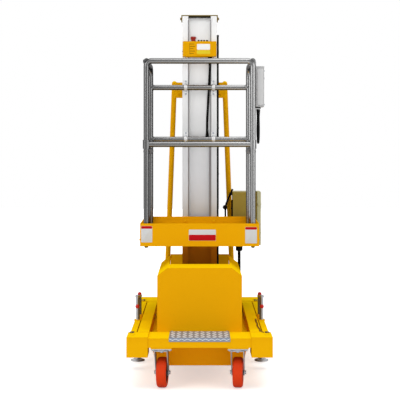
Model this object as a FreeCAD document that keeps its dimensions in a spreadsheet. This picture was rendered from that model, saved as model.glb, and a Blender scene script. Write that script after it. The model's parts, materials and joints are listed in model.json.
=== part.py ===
import FreeCAD, Part
import math
import os
import Sketcher
from FreeCAD import Placement, Rotation, Vector

# Vertical mast lift: a wheeled chassis with folding outriggers, five nested aluminium mast sections
# and a guard-railed basket on the front section.
# Axes: X to the right, Y from the front edge towards the rear, Z up. The origin is on the floor,
# under the middle of the chassis. All sizes are in millimetres. Places named *_back are measured
# rearwards from the front edge of the chassis.

os.makedirs("parts", exist_ok=True)
doc = FreeCAD.newDocument("vertical_mast_lift")

# Columns: name, value
SIZES = (
    # chassis
    ("frame_length", 1370),
    ("half_width", 358),
    ("housing_width", 104),
    ("rail_width", 58),
    ("rail_height", 80),
    ("rail_top", 263),
    ("tube_wall", 4),
    ("deck_top", 257),
    ("deck_height", 46),
    ("front_deck_length", 186),
    ("rear_deck_length", 120),
    ("floor_plate_thickness", 6),
    ("sheet", 3),
    ("running_gap", 0.3),
    ("overrun", 50),
    # corner housings that carry the outrigger pivots
    ("housing_height", 99),
    ("housing_plate", 8),
    ("housing_web", 8),
    ("front_housing_length", 145),
    ("rear_housing_length", 180),
    ("pivot_setback", 70),
    ("pivot_pin_radius", 10),
    ("knuckle_radius", 20),
    ("bay_clearance", 8.5),
    # outrigger arms
    ("arm_gap", 5.5),
    ("arm_width", 30),
    ("arm_height", 79),
    ("arm_drop", 1),
    ("arm_wall", 3),
    ("arm_start", 84),
    ("tongue_height", 66),
    ("front_jack_back", 518),
    ("rear_jack_back", 690),
    ("sleeve_radius", 18),
    ("sleeve_rise", 4),
    ("spindle_radius", 11),
    ("spindle_top", 384),
    ("rear_spindle_top", 362),
    ("foot_radius", 37.5),
    ("foot_bottom", 44),
    ("foot_thickness", 6),
    ("foot_collar_radius", 17),
    ("foot_collar_height", 20),
    ("crank_reach", 29),
    ("crank_drop", 50),
    ("crank_rod_radius", 4),
    ("ball_radius", 11),
    # step plate
    ("step_plate_half_width", 150),
    ("step_plate_thickness", 3),
    ("step_plate_lip", 19),
    # hood and what stands inside it
    ("hood_mast_gap", 164),
    ("hood_side_gap", 39),
    ("hood_top", 580),
    ("hood_chamfer_width", 52),
    ("hood_chamfer_height", 40),
    ("hood_flange_length", 181),
    ("hood_top_return", 5),
    ("battery_side_gap", 65),
    ("battery_front_gap", 54),
    ("battery_height", 210),
    ("pump_side_gap", 55),
    ("pump_rear_gap", 66),
    ("pump_length", 180),
    ("pump_height", 230),
    ("battery_pump_gap", 60),
    # tray below the floor
    ("tray_side_gap", 9),
    ("tray_slope", 22),
    ("tray_bottom", 84),
    ("tray_back", 200),
    ("tray_mast_gap", 70),
    # casters and rear wheels
    ("wheel_radius", 75),
    ("wheel_width", 50),
    ("tyre_round", 13),
    ("rim_radius", 54),
    ("hub_width", 44),
    ("boss_radius", 14),
    ("axle_radius", 6),
    ("caster_inset", 66),
    ("caster_back", 50),
    ("caster_trail", 36),
    ("caster_swivel", -5),
    ("pad_thickness", 7),
    ("pad_width", 104),
    ("pad_length", 90),
    ("caster_plate_width", 100),
    ("caster_plate_length", 86),
    ("caster_plate_thickness", 6),
    ("race_radius", 31),
    ("race_height", 5),
    ("fork_plate", 4),
    ("fork_inner", 29),
    ("fork_crown_height", 4),
    ("fork_root_half_length", 30),
    ("fork_tip_half_length", 15),
    ("axle_nut_radius", 9),
    ("axle_nut_width", 7),
    ("rear_wheel_inset", 66),
    ("rear_wheel_setback", 80),
    # mast
    ("mast_setback", 400),
    ("mast_half_width", 100),
    ("mast_pitch", 52),
    ("mast_wall", 8),
    ("mast_lip_inner", 65.5),
    ("channel_depth", 30),
    ("neck_half_width", 60),
    ("mast_rise", 308),
    ("cap_thickness", 6),
    ("cap_half_width", 106),
    ("cap_ear_height", 32),
    ("cap_ear_gap", 1),
    ("stage_top_step", 14),
    ("stage_bottom", 240),
    ("stage_bottom_step", 8),
    # mast foot and struts
    ("foot_plate_thickness", 8),
    ("foot_plate_strut_gap", 33),
    ("foot_plate_lead", 28),
    ("foot_plate_length", 100),
    ("wing_top", 545),
    ("wing_thickness", 6),
    ("wing_set", 22),
    ("cheek_length", 46),
    ("strut_radius", 15.5),
    ("strut_set", 38),
    ("strut_top_side", 152),
    ("strut_foot_inset", 51),
    ("strut_drop", 384),
    ("strut_wall", 3),
    ("strut_bracket_drop", 86),
    ("strut_bracket_height", 92),
    ("strut_bracket_depth", 30),
    ("strut_foot_plate", 6),
    ("strut_foot_length", 60),
    # electrical box
    ("box_gland_inset", 38),
    ("box_depth", 138),
    ("box_bottom", 618),
    ("box_height", 310),
    ("box_lap", 8),
    ("box_length", 180),
    ("box_wall", 2),
    ("lid_thickness", 25),
    ("lid_seal", 3),
    ("hinge_radius", 4),
    ("hinge_pin_radius", 2),
    ("hinge_offset", 6),
    ("hinge_length", 30),
    ("hinge_inset", 50),
    ("box_gland_radius", 20),
    ("box_gland_length", 38),
    ("box_gland_margin", 1),
    ("box_gland_set", 54),
    ("conduit_radius", 9.5),
    ("floor_gland_height", 24),
    ("box_strap_height", 26),
    ("box_strap_rise", 90),
    # basket
    ("basket_length", 550),
    ("basket_half_width", 315),
    ("basket_bottom", 667),
    ("toe_board_height", 121),
    ("toe_board", 3),
    ("basket_floor", 4),
    ("floor_panel", 2),
    ("floor_panel_margin", 8),
    ("rail_radius", 15),
    ("post_side_inset", 32),
    ("front_post_inset", 35),
    ("rear_post_inset", 30),
    ("top_rail_height", 1650),
    ("front_bend", 28),
    ("rear_bend", 50),
    ("rear_upper_drop", 115),
    ("rear_middle_drop", 414),
    ("entry_bar_drop", 443),
    ("sleeve_bar_radius", 19),
    ("sleeve_bar_height", 47),
    ("clamp_side", 80),
    ("clamp_width", 26),
    ("clamp_height", 84),
    ("clamp_seat", 2),
    ("u_bolt_radius", 3.5),
    # control box
    ("control_half_width", 96.5),
    ("control_depth", 90),
    ("control_rise", 62),
    ("control_height", 85),
    ("control_corner", 6),
    ("stop_side", 36),
    ("stop_radius", 17),
    ("stop_height", 30),
    ("button_side", 6),
    ("button_pitch", 16.2),
    ("button_radius", 6),
    ("button_height", 11),
    ("button_set", 45),
    # junction box on the right rail
    ("junction_side_gap", 2),
    ("junction_width", 45),
    ("junction_set", 64),
    ("junction_length", 120),
    ("junction_drop", 26),
    ("junction_gland_inset", 15),
    ("junction_cable_drop", 176),
    ("junction_gland_step", 8),
    ("junction_height", 216),
    ("junction_lid", 3),
    ("junction_lid_margin", 8),
    ("hanger_radius", 18),
    ("hanger_width", 16),
    ("hanger_inset", 24),
    # cables
    ("cable_radius", 6.5),
    ("gland_radius", 9.5),
    ("gland_length", 16),
    ("mast_cable_radius", 4.5),
    ("mast_cable_drop", 121),
    ("mast_cable_bottom", 500),
    ("mast_cable_set", 14),
    ("clip_height", 12),
    ("clip_reach", 3),
    ("control_cable_side", 60),
    ("mast_gland_shift", 16),
    ("mast_gland_set", 58.5),
    # lock pins
    ("lock_pin_radius", 5),
    ("lock_pin_height", 8),
    ("lock_pin_inset", 22),
    ("lock_ring_radius", 8),
    ("lock_ring_wire", 2),
)

sheet = doc.addObject("Spreadsheet::Sheet", "sizes")
for row, (alias, number) in enumerate(SIZES, start=1):
    sheet.set(f"A{row}", alias)
    sheet.set(f"B{row}", str(number))
    sheet.setAlias(f"B{row}", alias)
doc.recompute()


class Size:
    """A length that knows its number and the sheet expression that it comes from."""

    def __init__(self, text, value):
        self.text = text
        self.value = value

    def combine(self, other, sign, value):
        return Size(f"({self.text} {sign} {other.text})", value)

    def __add__(self, other):
        other = as_size(other)
        return self.combine(other, "+", self.value + other.value)

    def __sub__(self, other):
        other = as_size(other)
        return self.combine(other, "-", self.value - other.value)

    def __mul__(self, other):
        other = as_size(other)
        return self.combine(other, "*", self.value * other.value)

    def __truediv__(self, other):
        other = as_size(other)
        return self.combine(other, "/", self.value / other.value)

    def __radd__(self, other):
        return as_size(other) + self

    def __rsub__(self, other):
        return as_size(other) - self

    def __rmul__(self, other):
        return as_size(other) * self

    def __neg__(self):
        return as_size(0) - self


def as_size(thing):
    return thing if isinstance(thing, Size) else Size(f"{thing}", float(thing))


class Sheet:
    """The named sizes of the sheet, as d.name."""

    def __getattr__(self, name):
        return Size(f"sizes.{name}", float(sheet.get(name)))


d = Sheet()


def back(distance):
    """Y of a place that lies this far behind the front edge of the chassis."""
    return distance - d.frame_length / 2


def root(size):
    return Size(f"sqrt({size.text})", math.sqrt(size.value))


def bind(thing, prop, size):
    thing.setExpression(prop, as_size(size).text)


def place(thing, x, y, z):
    for axis, size in (("x", x), ("y", y), ("z", z)):
        bind(thing, f"Placement.Base.{axis}", size)


def block(name, x, y, z):
    """Box between the limits x, y and z, each a pair."""
    box = doc.addObject("Part::Box", name)
    bind(box, "Length", x[1] - x[0])
    bind(box, "Width", y[1] - y[0])
    bind(box, "Height", z[1] - z[0])
    place(box, x[0], y[0], z[0])
    return box


TURNED = {
    "x": Rotation(Vector(0, 1, 0), 90),
    "y": Rotation(Vector(1, 0, 0), -90),
    "z": Rotation(),
}


def rod(name, radius, axis, start, length):
    """Cylinder from the point start, along the positive direction of an axis."""
    bar = doc.addObject("Part::Cylinder", name)
    bar.Placement = Placement(Vector(), TURNED[axis])
    bind(bar, "Radius", radius)
    bind(bar, "Height", length)
    place(bar, *start)
    return bar


def ball(name, radius, centre):
    thing = doc.addObject("Part::Sphere", name)
    bind(thing, "Radius", radius)
    place(thing, *centre)
    return thing


def cut(name, base, *tools):
    body = base
    for number, tool in enumerate(tools, start=1):
        last = number == len(tools)
        step = doc.addObject("Part::Cut", name if last else f"{name}_cut_{number}")
        step.Base = body
        step.Tool = tool
        body = step
    return body


def fuse(name, *pieces):
    joined = doc.addObject("Part::MultiFuse", name)
    joined.Shapes = list(pieces)
    joined.Refine = True
    return joined


def group(name, *pieces):
    """One node of several solids that do not touch."""
    together = doc.addObject("Part::Compound", name)
    together.Links = list(pieces)
    return together


def origin_plane(body, role):
    return [f for f in body.Origin.OriginFeatures if f.Role == role][0]


def draw_ring(sketch, ring):
    """Closed outline of lines whose corners are held by expressions."""
    first = sketch.GeometryCount
    count = len(ring)
    for k in range(count):
        here, after = ring[k], ring[(k + 1) % count]
        start = Vector(here[0].value, here[1].value, 0)
        end = Vector(after[0].value, after[1].value, 0)
        sketch.addGeometry(Part.LineSegment(start, end), False)
    for k in range(count):
        sketch.addConstraint(
            Sketcher.Constraint("Coincident", first + k, 2, first + (k + 1) % count, 1))
    for k in range(count):
        for kind, size in (("DistanceX", ring[k][0]), ("DistanceY", ring[k][1])):
            held = sketch.addConstraint(
                Sketcher.Constraint(kind, -1, 1, first + k, 1, size.value))
            sketch.setExpression(f"Constraints[{held}]", size.text)


def sketched(name, rings):
    body = doc.addObject("PartDesign::Body", name)
    sketch = body.newObject("Sketcher::SketchObject", f"{name}_sketch")
    sketch.AttachmentSupport = (origin_plane(body, "XY_Plane"), [""])
    sketch.MapMode = "FlatFace"
    for ring in rings:
        draw_ring(sketch, [(as_size(u), as_size(v)) for u, v in ring])
    return body, sketch


LYING = {
    "xy": Rotation(),
    "xz": Rotation(Vector(1, 0, 0), 90),
    "yz": Rotation(Vector(1, 1, 1), 120),
}


def prism(name, plane, rings, start, length, corner=None):
    """Outline drawn in the plane xy, xz or yz and padded along the third axis from start."""
    body, sketch = sketched(name, rings)
    pad = body.newObject("PartDesign::Pad", f"{name}_pad")
    pad.Profile = sketch
    bind(pad, "Length", length)
    body.Placement = Placement(Vector(), LYING[plane])
    if plane == "xy":
        place(body, as_size(0), as_size(0), start)
    elif plane == "xz":
        place(body, as_size(0), start + length, as_size(0))
    else:
        place(body, start, as_size(0), as_size(0))
    if corner is not None:
        doc.recompute()
        edges = []
        for number, edge in enumerate(pad.Shape.Edges, start=1):
            run = edge.tangentAt(edge.FirstParameter)
            if abs(run.z) > 0.99:
                edges.append(f"Edge{number}")
        rounding = body.newObject("PartDesign::Fillet", f"{name}_corners")
        rounding.Base = (pad, edges)
        bind(rounding, "Radius", corner)
        body.Tip = rounding
    return body


def turned(name, ring, axis, centre):
    """Outline of (radius, distance along the axis) pairs, turned about the axis x, y or z."""
    body, sketch = sketched(name, [ring])
    spin = body.newObject("PartDesign::Revolution", f"{name}_turn")
    spin.Profile = sketch
    spin.ReferenceAxis = (sketch, ["V_Axis"])
    spin.Angle = 360
    turns = {
        "x": Rotation(Vector(0, 0, 1), -90),
        "y": Rotation(),
        "z": Rotation(Vector(1, 0, 0), 90),
    }
    body.Placement = Placement(Vector(), turns[axis])
    place(body, *centre)
    return body


def route(points, bend=None):
    """Wire of straight runs and tangent arcs through points, and the arcs' radii."""
    runs = []
    radii = []
    at = points[0]
    for before, here, after in zip(points, points[1:], points[2:]):
        arrive = (here - before).normalize()
        leave = (after - here).normalize()
        turn = arrive.getAngle(leave)
        if bend is None:
            shorter = min((here - before).Length, (after - here).Length)
            radius = 0.45 * shorter / math.tan(turn / 2)
        else:
            radius = bend
        radii.append(radius)
        reach = radius * math.tan(turn / 2)
        arc_start = here - arrive * reach
        arc_end = here + leave * reach
        inward = (leave - arrive).normalize()
        arc_middle = here + inward * (radius / math.cos(turn / 2) - radius)
        runs.append(Part.LineSegment(at, arc_start).toShape())
        runs.append(Part.Arc(arc_start, arc_middle, arc_end).toShape())
        at = arc_end
    runs.append(Part.LineSegment(at, points[-1]).toShape())
    return Part.Wire(runs), radii


def tube(name, points, radius, bend=None):
    """Round bar swept along a route of points given as (x, y, z) sizes."""
    corners = [Vector(*(as_size(c).value for c in point)) for point in points]
    wire, radii = route(corners, as_size(bend).value if bend is not None else None)
    start = corners[0]
    section = Part.Wire(Part.makeCircle(as_size(radius).value, start, corners[1] - start))
    swept = wire.makePipeShell([section], True, False)
    whole = math.pi * as_size(radius).value ** 2 * wire.Length
    if not swept.isValid() or abs(swept.Volume - whole) > 0.005 * whole:
        raise RuntimeError(f"{name} is not a clean tube")
    if bend is None:
        print(name, "length", round(wire.Length, 1), "radii", [round(r, 1) for r in radii])
    bar = doc.addObject("Part::Feature", name)
    bar.Shape = swept
    return bar


nodes = []


def node(thing, label):
    thing.Label = label
    nodes.append(thing)
    return thing


def sided(side, low, high):
    """The pair of x limits on the right (1) or mirrored to the left (-1)."""
    return (low, high) if side > 0 else (-high, -low)


SIDES = (("left", -1), ("right", 1))
far = d.overrun
rail_inner = d.half_width - d.housing_width
rail_outer = rail_inner + d.rail_width
rail_bottom = d.rail_top - d.rail_height
deck_bottom = d.deck_top - d.deck_height
floor_top = deck_bottom + d.floor_plate_thickness
front_y = back(as_size(0))
rear_y = back(d.frame_length)
arm_x = rail_outer + d.arm_gap + d.arm_width / 2
front_pivot_y = back(d.front_housing_length - d.pivot_setback)
rear_pivot_y = back(d.frame_length - d.rear_housing_length + d.pivot_setback)
front_rail_y = back(d.front_housing_length)
rear_rail_y = back(d.frame_length - d.rear_housing_length)
caster_plate_top = deck_bottom - d.pad_thickness
caster_side = rail_inner - d.caster_inset
rear_wheel_side = rail_inner - d.rear_wheel_inset
rear_wheel_back = d.frame_length - d.rear_wheel_setback

mast_back = d.frame_length - d.mast_setback
mast_top = d.top_rail_height + d.mast_rise
mast_cable_top = mast_top - d.mast_cable_drop
fixed_section_back = mast_back + d.mast_pitch * 4
wing_back = fixed_section_back + d.wing_set
strut_back = fixed_section_back + d.strut_set
strut_foot_side = rail_inner - d.strut_foot_inset
foot_plate_half_width = strut_foot_side - d.foot_plate_strut_gap
strut_top = mast_top - d.strut_drop
strut_bracket_bottom = strut_top - d.strut_bracket_drop

hood_back = d.front_deck_length
hood_length = mast_back - hood_back - d.hood_mast_gap
hood_half_width = rail_inner - d.hood_side_gap
pump_back = hood_back + hood_length - d.pump_rear_gap - d.pump_length
battery_back = hood_back + d.battery_front_gap
tray_length = mast_back - d.tray_mast_gap - d.tray_back
tray_top_half_width = rail_inner - d.tray_side_gap
tray_bottom_half_width = tray_top_half_width - d.tray_slope

box_back = fixed_section_back + d.box_lap - d.box_length
box_gland_side = rail_inner - d.box_gland_radius - d.box_gland_margin
box_inner_side = box_gland_side - d.box_gland_inset
box_gland_back = box_back + d.box_gland_set

basket_back = mast_back - d.basket_length
front_post_back = basket_back + d.front_post_inset
rear_post_back = mast_back - d.rear_post_inset
post_side = d.basket_half_width - d.post_side_inset
rear_upper_height = d.top_rail_height - d.rear_upper_drop
rear_middle_height = d.top_rail_height - d.rear_middle_drop
entry_bar_height = d.top_rail_height - d.entry_bar_drop
side_middle_height = (entry_bar_height - d.sleeve_bar_height / 2 - d.running_gap
                      - d.rail_radius)
control_bottom = d.top_rail_height + d.control_rise
junction_inner_side = post_side + d.rail_radius + d.junction_side_gap
junction_back = basket_back + d.junction_set
junction_bottom = d.top_rail_height - d.junction_drop - d.junction_height


# Chassis


def chassis_frame():
    pieces = []
    for word, side in SIDES:
        outer = block(f"rail_{word}_outer", sided(side, rail_inner, rail_outer),
                      (front_rail_y, rear_rail_y), (rail_bottom, d.rail_top))
        inner = block(f"rail_{word}_bore",
                      sided(side, rail_inner + d.tube_wall, rail_outer - d.tube_wall),
                      (front_rail_y - far, rear_rail_y + far),
                      (rail_bottom + d.tube_wall, d.rail_top - d.tube_wall))
        pieces.append(cut(f"rail_{word}", outer, inner))
    floor_y = (back(d.front_deck_length), back(d.frame_length - d.rear_deck_length))
    pieces.append(block("floor_plate", (-rail_inner, rail_inner), floor_y,
                        (deck_bottom, floor_top)))
    rear_deck = block("rear_deck_outer", (-rail_inner, rail_inner), (floor_y[1], rear_y),
                      (deck_bottom, d.deck_top))
    rear_hollow = block("rear_deck_bore",
                        (-rail_inner + d.tube_wall, rail_inner - d.tube_wall),
                        (floor_y[1] + d.tube_wall, rear_y - d.tube_wall),
                        (deck_bottom + d.tube_wall, d.deck_top - d.tube_wall))
    pieces.append(cut("rear_deck", rear_deck, rear_hollow))
    for word, side in SIDES:
        pieces.append(block(f"rear_pad_{word}",
                            sided(side, rear_wheel_side - d.pad_width / 2,
                                  rear_wheel_side + d.pad_width / 2),
                            (floor_y[1], floor_y[1] + d.pad_length),
                            (caster_plate_top, deck_bottom)))
    node(fuse("chassis_frame_body", *pieces), "chassis_frame")


def front_deck():
    y = (front_y + d.step_plate_thickness, back(d.front_deck_length))
    outer = block("front_deck_outer", (-rail_inner, rail_inner), y, (deck_bottom, d.deck_top))
    bore = block("front_deck_bore", (-rail_inner + d.tube_wall, rail_inner - d.tube_wall),
                 (y[0] + d.tube_wall, y[1] - d.tube_wall),
                 (deck_bottom + d.tube_wall, d.deck_top - d.tube_wall))
    pieces = [cut("front_deck_shell", outer, bore)]
    middle = back(d.caster_back)
    for word, side in SIDES:
        pieces.append(block(f"front_pad_{word}",
                            sided(side, caster_side - d.pad_width / 2,
                                  caster_side + d.pad_width / 2),
                            (middle - d.pad_length / 2, middle + d.pad_length / 2),
                            (caster_plate_top, deck_bottom)))
    node(fuse("front_deck_body", *pieces), "front_deck")


def corner_housing(name, side, y, pivot_y, closed_end):
    """Welded box with an open bay for the arm's knuckle and a solid pivot pin."""
    z = (d.rail_top - d.housing_height, d.rail_top)
    inside = (z[0] + d.housing_plate, z[1] - d.housing_plate)
    if closed_end == "front":
        bay_y = (y[0] + d.housing_plate, y[1] + far)
    else:
        bay_y = (y[0] - far, y[1] - d.housing_plate)
    bay_x = arm_x - d.knuckle_radius - d.bay_clearance
    outer = block(f"{name}_outer", sided(side, rail_inner, d.half_width), y, z)
    arm_bay = block(f"{name}_arm_bay", sided(side, bay_x, d.half_width + far), bay_y, inside)
    inner_bay = block(f"{name}_inner_bay",
                      sided(side, rail_inner + d.housing_web, bay_x - d.housing_web),
                      bay_y, inside)
    shell = cut(f"{name}_shell", outer, arm_bay, inner_bay)
    pin = rod(f"{name}_pin", d.pivot_pin_radius, "z", (side * arm_x, pivot_y, z[0]),
              d.housing_height)
    return fuse(name, shell, pin)


def corner_housings():
    # Columns: node, y limits, pivot y, closed end
    for label, y, pivot_y, closed_end in (
            ("front_housings", (front_y, front_rail_y), front_pivot_y, "front"),
            ("rear_housings", (rear_rail_y, rear_y), rear_pivot_y, "rear")):
        pair = [corner_housing(f"{label}_{word}", side, y, pivot_y, closed_end)
                for word, side in SIDES]
        node(group(f"{label}_pair", *pair), label)


def step_plate():
    half = d.step_plate_half_width
    ring = (
        (front_y, d.deck_top + d.step_plate_thickness),
        (front_y, d.deck_top - d.step_plate_lip + d.step_plate_thickness),
        (front_y + d.step_plate_thickness, d.deck_top - d.step_plate_lip + d.step_plate_thickness),
        (front_y + d.step_plate_thickness, d.deck_top),
        (back(hood_back), d.deck_top),
        (back(hood_back), d.deck_top + d.step_plate_thickness),
    )
    node(prism("step_plate_body", "yz", [ring], -half, half * 2), "step_plate")


def hood_outline(inset, bottom):
    wide = hood_half_width - inset
    narrow = hood_half_width - d.hood_chamfer_width - inset * 0.5
    top = d.hood_top - inset
    shoulder = d.hood_top - d.hood_chamfer_height - inset * 0.5
    return ((-wide, bottom), (wide, bottom), (wide, shoulder), (narrow, top), (-narrow, top),
            (-wide, shoulder))


def hood():
    y0 = back(hood_back)
    outer = prism("hood_outer", "xz", [hood_outline(as_size(0), floor_top)], y0, hood_length)
    hollow = prism("hood_hollow", "xz", [hood_outline(d.sheet, floor_top - far)], y0 + d.sheet,
                   hood_length)
    half = hood_half_width - d.hood_chamfer_width - d.hood_top_return
    mouth = block("hood_mouth", (-half, half),
                  (y0 + d.hood_flange_length, y0 + hood_length + far),
                  (d.hood_top - d.sheet * 2, d.hood_top + far))
    shell = cut("hood_shell", outer, hollow, mouth)
    node(shell, "hood")


def power_unit():
    # Columns: piece, width, distance behind the front edge, length, height
    table = (
        ("battery", (hood_half_width - d.battery_side_gap) * 2, battery_back,
         pump_back - d.battery_pump_gap - battery_back, d.battery_height),
        ("pump", (hood_half_width - d.pump_side_gap) * 2, pump_back, d.pump_length,
         d.pump_height),
    )
    blocks = [block(piece, (-width / 2, width / 2), (back(place_back), back(place_back + length)),
                    (floor_top, floor_top + height))
              for piece, width, place_back, length, height in table]
    node(group("power_unit_blocks", *blocks), "power_unit")


def tray_outline(inset):
    return ((-tray_bottom_half_width + inset, d.tray_bottom + inset),
            (tray_bottom_half_width - inset, d.tray_bottom + inset),
            (tray_top_half_width - inset, deck_bottom + inset),
            (-tray_top_half_width + inset, deck_bottom + inset))


def underbody_tray():
    y0 = back(d.tray_back)
    outer = prism("tray_outer", "xz", [tray_outline(as_size(0))], y0, tray_length)
    hollow = prism("tray_hollow", "xz", [tray_outline(d.sheet)], y0 + d.sheet,
                   tray_length - d.sheet * 2)
    node(cut("tray_shell", outer, hollow), "underbody_tray")


# Wheels


def caster_plates():
    y = back(d.caster_back)
    plates = []
    for word, side in SIDES:
        x = side * caster_side
        plate = block(f"caster_plate_{word}_top",
                      (x - d.caster_plate_width / 2, x + d.caster_plate_width / 2),
                      (y - d.caster_plate_length / 2, y + d.caster_plate_length / 2),
                      (caster_plate_top - d.caster_plate_thickness, caster_plate_top))
        plates.append(plate)
    node(group("caster_plates_pair", *plates), "caster_plates")


def fork(name, x, y, top, trail, race):
    """Fork that hangs under top, with its axle at wheel height and set back by trail."""
    race_bottom = top - race
    crown_bottom = race_bottom - d.fork_crown_height
    wide = d.fork_inner + d.fork_plate
    pieces = []
    if race.value > 0:
        pieces.append(rod(f"{name}_race", d.race_radius, "z", (x, y, race_bottom), race))
    pieces.append(block(f"{name}_crown", (x - wide, x + wide),
                        (y - d.fork_root_half_length, y + d.fork_root_half_length),
                        (crown_bottom, race_bottom)))
    ring = (
        (y - d.fork_root_half_length, race_bottom),
        (y - d.fork_root_half_length, crown_bottom - d.fork_plate),
        (y + trail - d.fork_tip_half_length, d.wheel_radius),
        (y + trail - d.fork_tip_half_length, d.wheel_radius - d.fork_tip_half_length),
        (y + trail + d.fork_tip_half_length, d.wheel_radius - d.fork_tip_half_length),
        (y + trail + d.fork_tip_half_length, d.wheel_radius),
        (y + d.fork_root_half_length, crown_bottom - d.fork_plate),
        (y + d.fork_root_half_length, race_bottom),
    )
    for word, side in SIDES:
        start = x + d.fork_inner if side > 0 else x - wide
        pieces.append(prism(f"{name}_leg_{word}", "yz", [ring], start, d.fork_plate))
    reach = wide + d.axle_nut_width
    pieces.append(rod(f"{name}_axle", d.axle_radius, "x", (x - reach, y + trail, d.wheel_radius),
                      reach * 2))
    for word, side in SIDES:
        start = x + wide if side > 0 else x - reach
        pieces.append(rod(f"{name}_nut_{word}", d.axle_nut_radius, "x",
                          (start, y + trail, d.wheel_radius), d.axle_nut_width))
    return fuse(name, *pieces)


def swivelled(thing, turn=0):
    """Turn a wheel about the upright through its own centre."""
    upright = Rotation(Vector(0, 0, 1), as_size(turn).value)
    thing.Placement = Placement(thing.Placement.Base,
                                upright.multiply(thing.Placement.Rotation))
    return thing


def wheel(label, x, y, turn=0):
    """Turned hub with bosses that reach the fork, and the tyre moulded on its rim."""
    centre = (x, y, d.wheel_radius)
    bore = d.axle_radius + d.running_gap
    boss = d.fork_inner - d.running_gap
    half = d.hub_width / 2
    rim_inner = d.rim_radius - d.sheet * 3
    web = half - d.sheet * 3
    hub_ring = (
        (bore, -boss), (d.boss_radius, -boss), (d.boss_radius, -web), (rim_inner, -web),
        (rim_inner, -half), (d.rim_radius, -half), (d.rim_radius, half), (rim_inner, half),
        (rim_inner, web), (d.boss_radius, web), (d.boss_radius, boss), (bore, boss),
    )
    node(swivelled(turned(f"{label}_hub_body", hub_ring, "x", centre), turn), f"{label}_hub")
    edge = d.wheel_width / 2
    crown = [(d.wheel_radius - d.tyre_round * (1 - math.cos(a)),
              edge - d.tyre_round * (1 - math.sin(a)))
             for a in (math.radians(angle) for angle in (0, 22.5, 45, 67.5, 90))]
    tyre_ring = ([(d.rim_radius, -half), (d.rim_radius + d.sheet, -edge)]
                 + [(radius, -across) for radius, across in reversed(crown)] + crown
                 + [(d.rim_radius + d.sheet, edge), (d.rim_radius, half)])
    node(swivelled(turned(f"{label}_tyre_body", tyre_ring, "x", centre), turn), f"{label}_tyre")


def running_gear():
    y = back(d.caster_back)
    angle = math.radians(d.caster_swivel.value)
    sine = Size(f"sin({d.caster_swivel.text})", math.sin(angle))
    cosine = Size(f"cos({d.caster_swivel.text})", math.cos(angle))
    for word, side in SIDES:
        x = side * caster_side
        top = caster_plate_top - d.caster_plate_thickness - d.running_gap
        upright = fork(f"caster_{word}_fork_body", x, y, top, d.caster_trail, d.race_height)
        upright.Placement = Placement(Vector(), Rotation(Vector(0, 0, 1), d.caster_swivel.value))
        bind(upright, "Placement.Rotation.Angle", d.caster_swivel)
        place(upright, x - x * cosine + y * sine, y - x * sine - y * cosine, 0)
        node(upright, f"caster_{word}_fork")
        wheel(f"caster_{word}", x - d.caster_trail * sine, y + d.caster_trail * cosine,
              d.caster_swivel)
    forks = []
    for word, side in SIDES:
        x = side * rear_wheel_side
        forks.append(fork(f"rear_{word}_bracket", x, back(rear_wheel_back), caster_plate_top,
                          as_size(0), as_size(0)))
        wheel(f"rear_{word}", x, back(rear_wheel_back))
    node(group("rear_wheel_brackets_pair", *forks), "rear_wheel_brackets")


# Outriggers


def arm_height_limits():
    top = d.rail_top - d.arm_drop
    return top - d.arm_height, top


def outrigger_arm(label, side, pivot_y, jack_y, way):
    """Hollow arm folded along the rail; way is 1 when it points rearwards and -1 forwards."""
    x = side * arm_x
    low, top = arm_height_limits()
    knuckle_low = d.rail_top - d.housing_height + d.housing_plate + d.running_gap
    knuckle_top = d.rail_top - d.housing_plate - d.running_gap
    start = pivot_y + way * d.arm_start

    def run(y_from, y_to):
        return (y_from, y_to) if way > 0 else (y_to, y_from)

    half = d.arm_width / 2
    outer = block(f"{label}_outer", (x - half, x + half), run(start, jack_y), (low, top))
    bore = block(f"{label}_bore", (x - half + d.arm_wall, x + half - d.arm_wall),
                 run(start - way * far, jack_y + way * far), (low + d.arm_wall, top - d.arm_wall))
    tongue_low = (knuckle_low + knuckle_top) / 2 - d.tongue_height / 2
    tongue = block(f"{label}_tongue", (x - half + d.arm_wall, x + half - d.arm_wall),
                   run(pivot_y, start + way * d.knuckle_radius * 2),
                   (tongue_low, tongue_low + d.tongue_height))
    knuckle = rod(f"{label}_knuckle", d.knuckle_radius, "z", (x, pivot_y, knuckle_low),
                  knuckle_top - knuckle_low)
    sleeve = rod(f"{label}_sleeve", d.sleeve_radius, "z", (x, jack_y, low),
                 top + d.sleeve_rise - low)
    whole = fuse(f"{label}_whole", cut(f"{label}_tube", outer, bore), tongue, knuckle, sleeve)
    pin_bore = rod(f"{label}_pin_bore", d.pivot_pin_radius + d.running_gap, "z",
                   (x, pivot_y, low - far), d.housing_height + far * 2)
    spindle_bore = rod(f"{label}_spindle_bore", d.spindle_radius + d.running_gap, "z",
                       (x, jack_y, low - far), d.arm_height + d.sleeve_rise + far * 2)
    node(cut(f"{label}_body", whole, pin_bore, spindle_bore), label)


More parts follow.
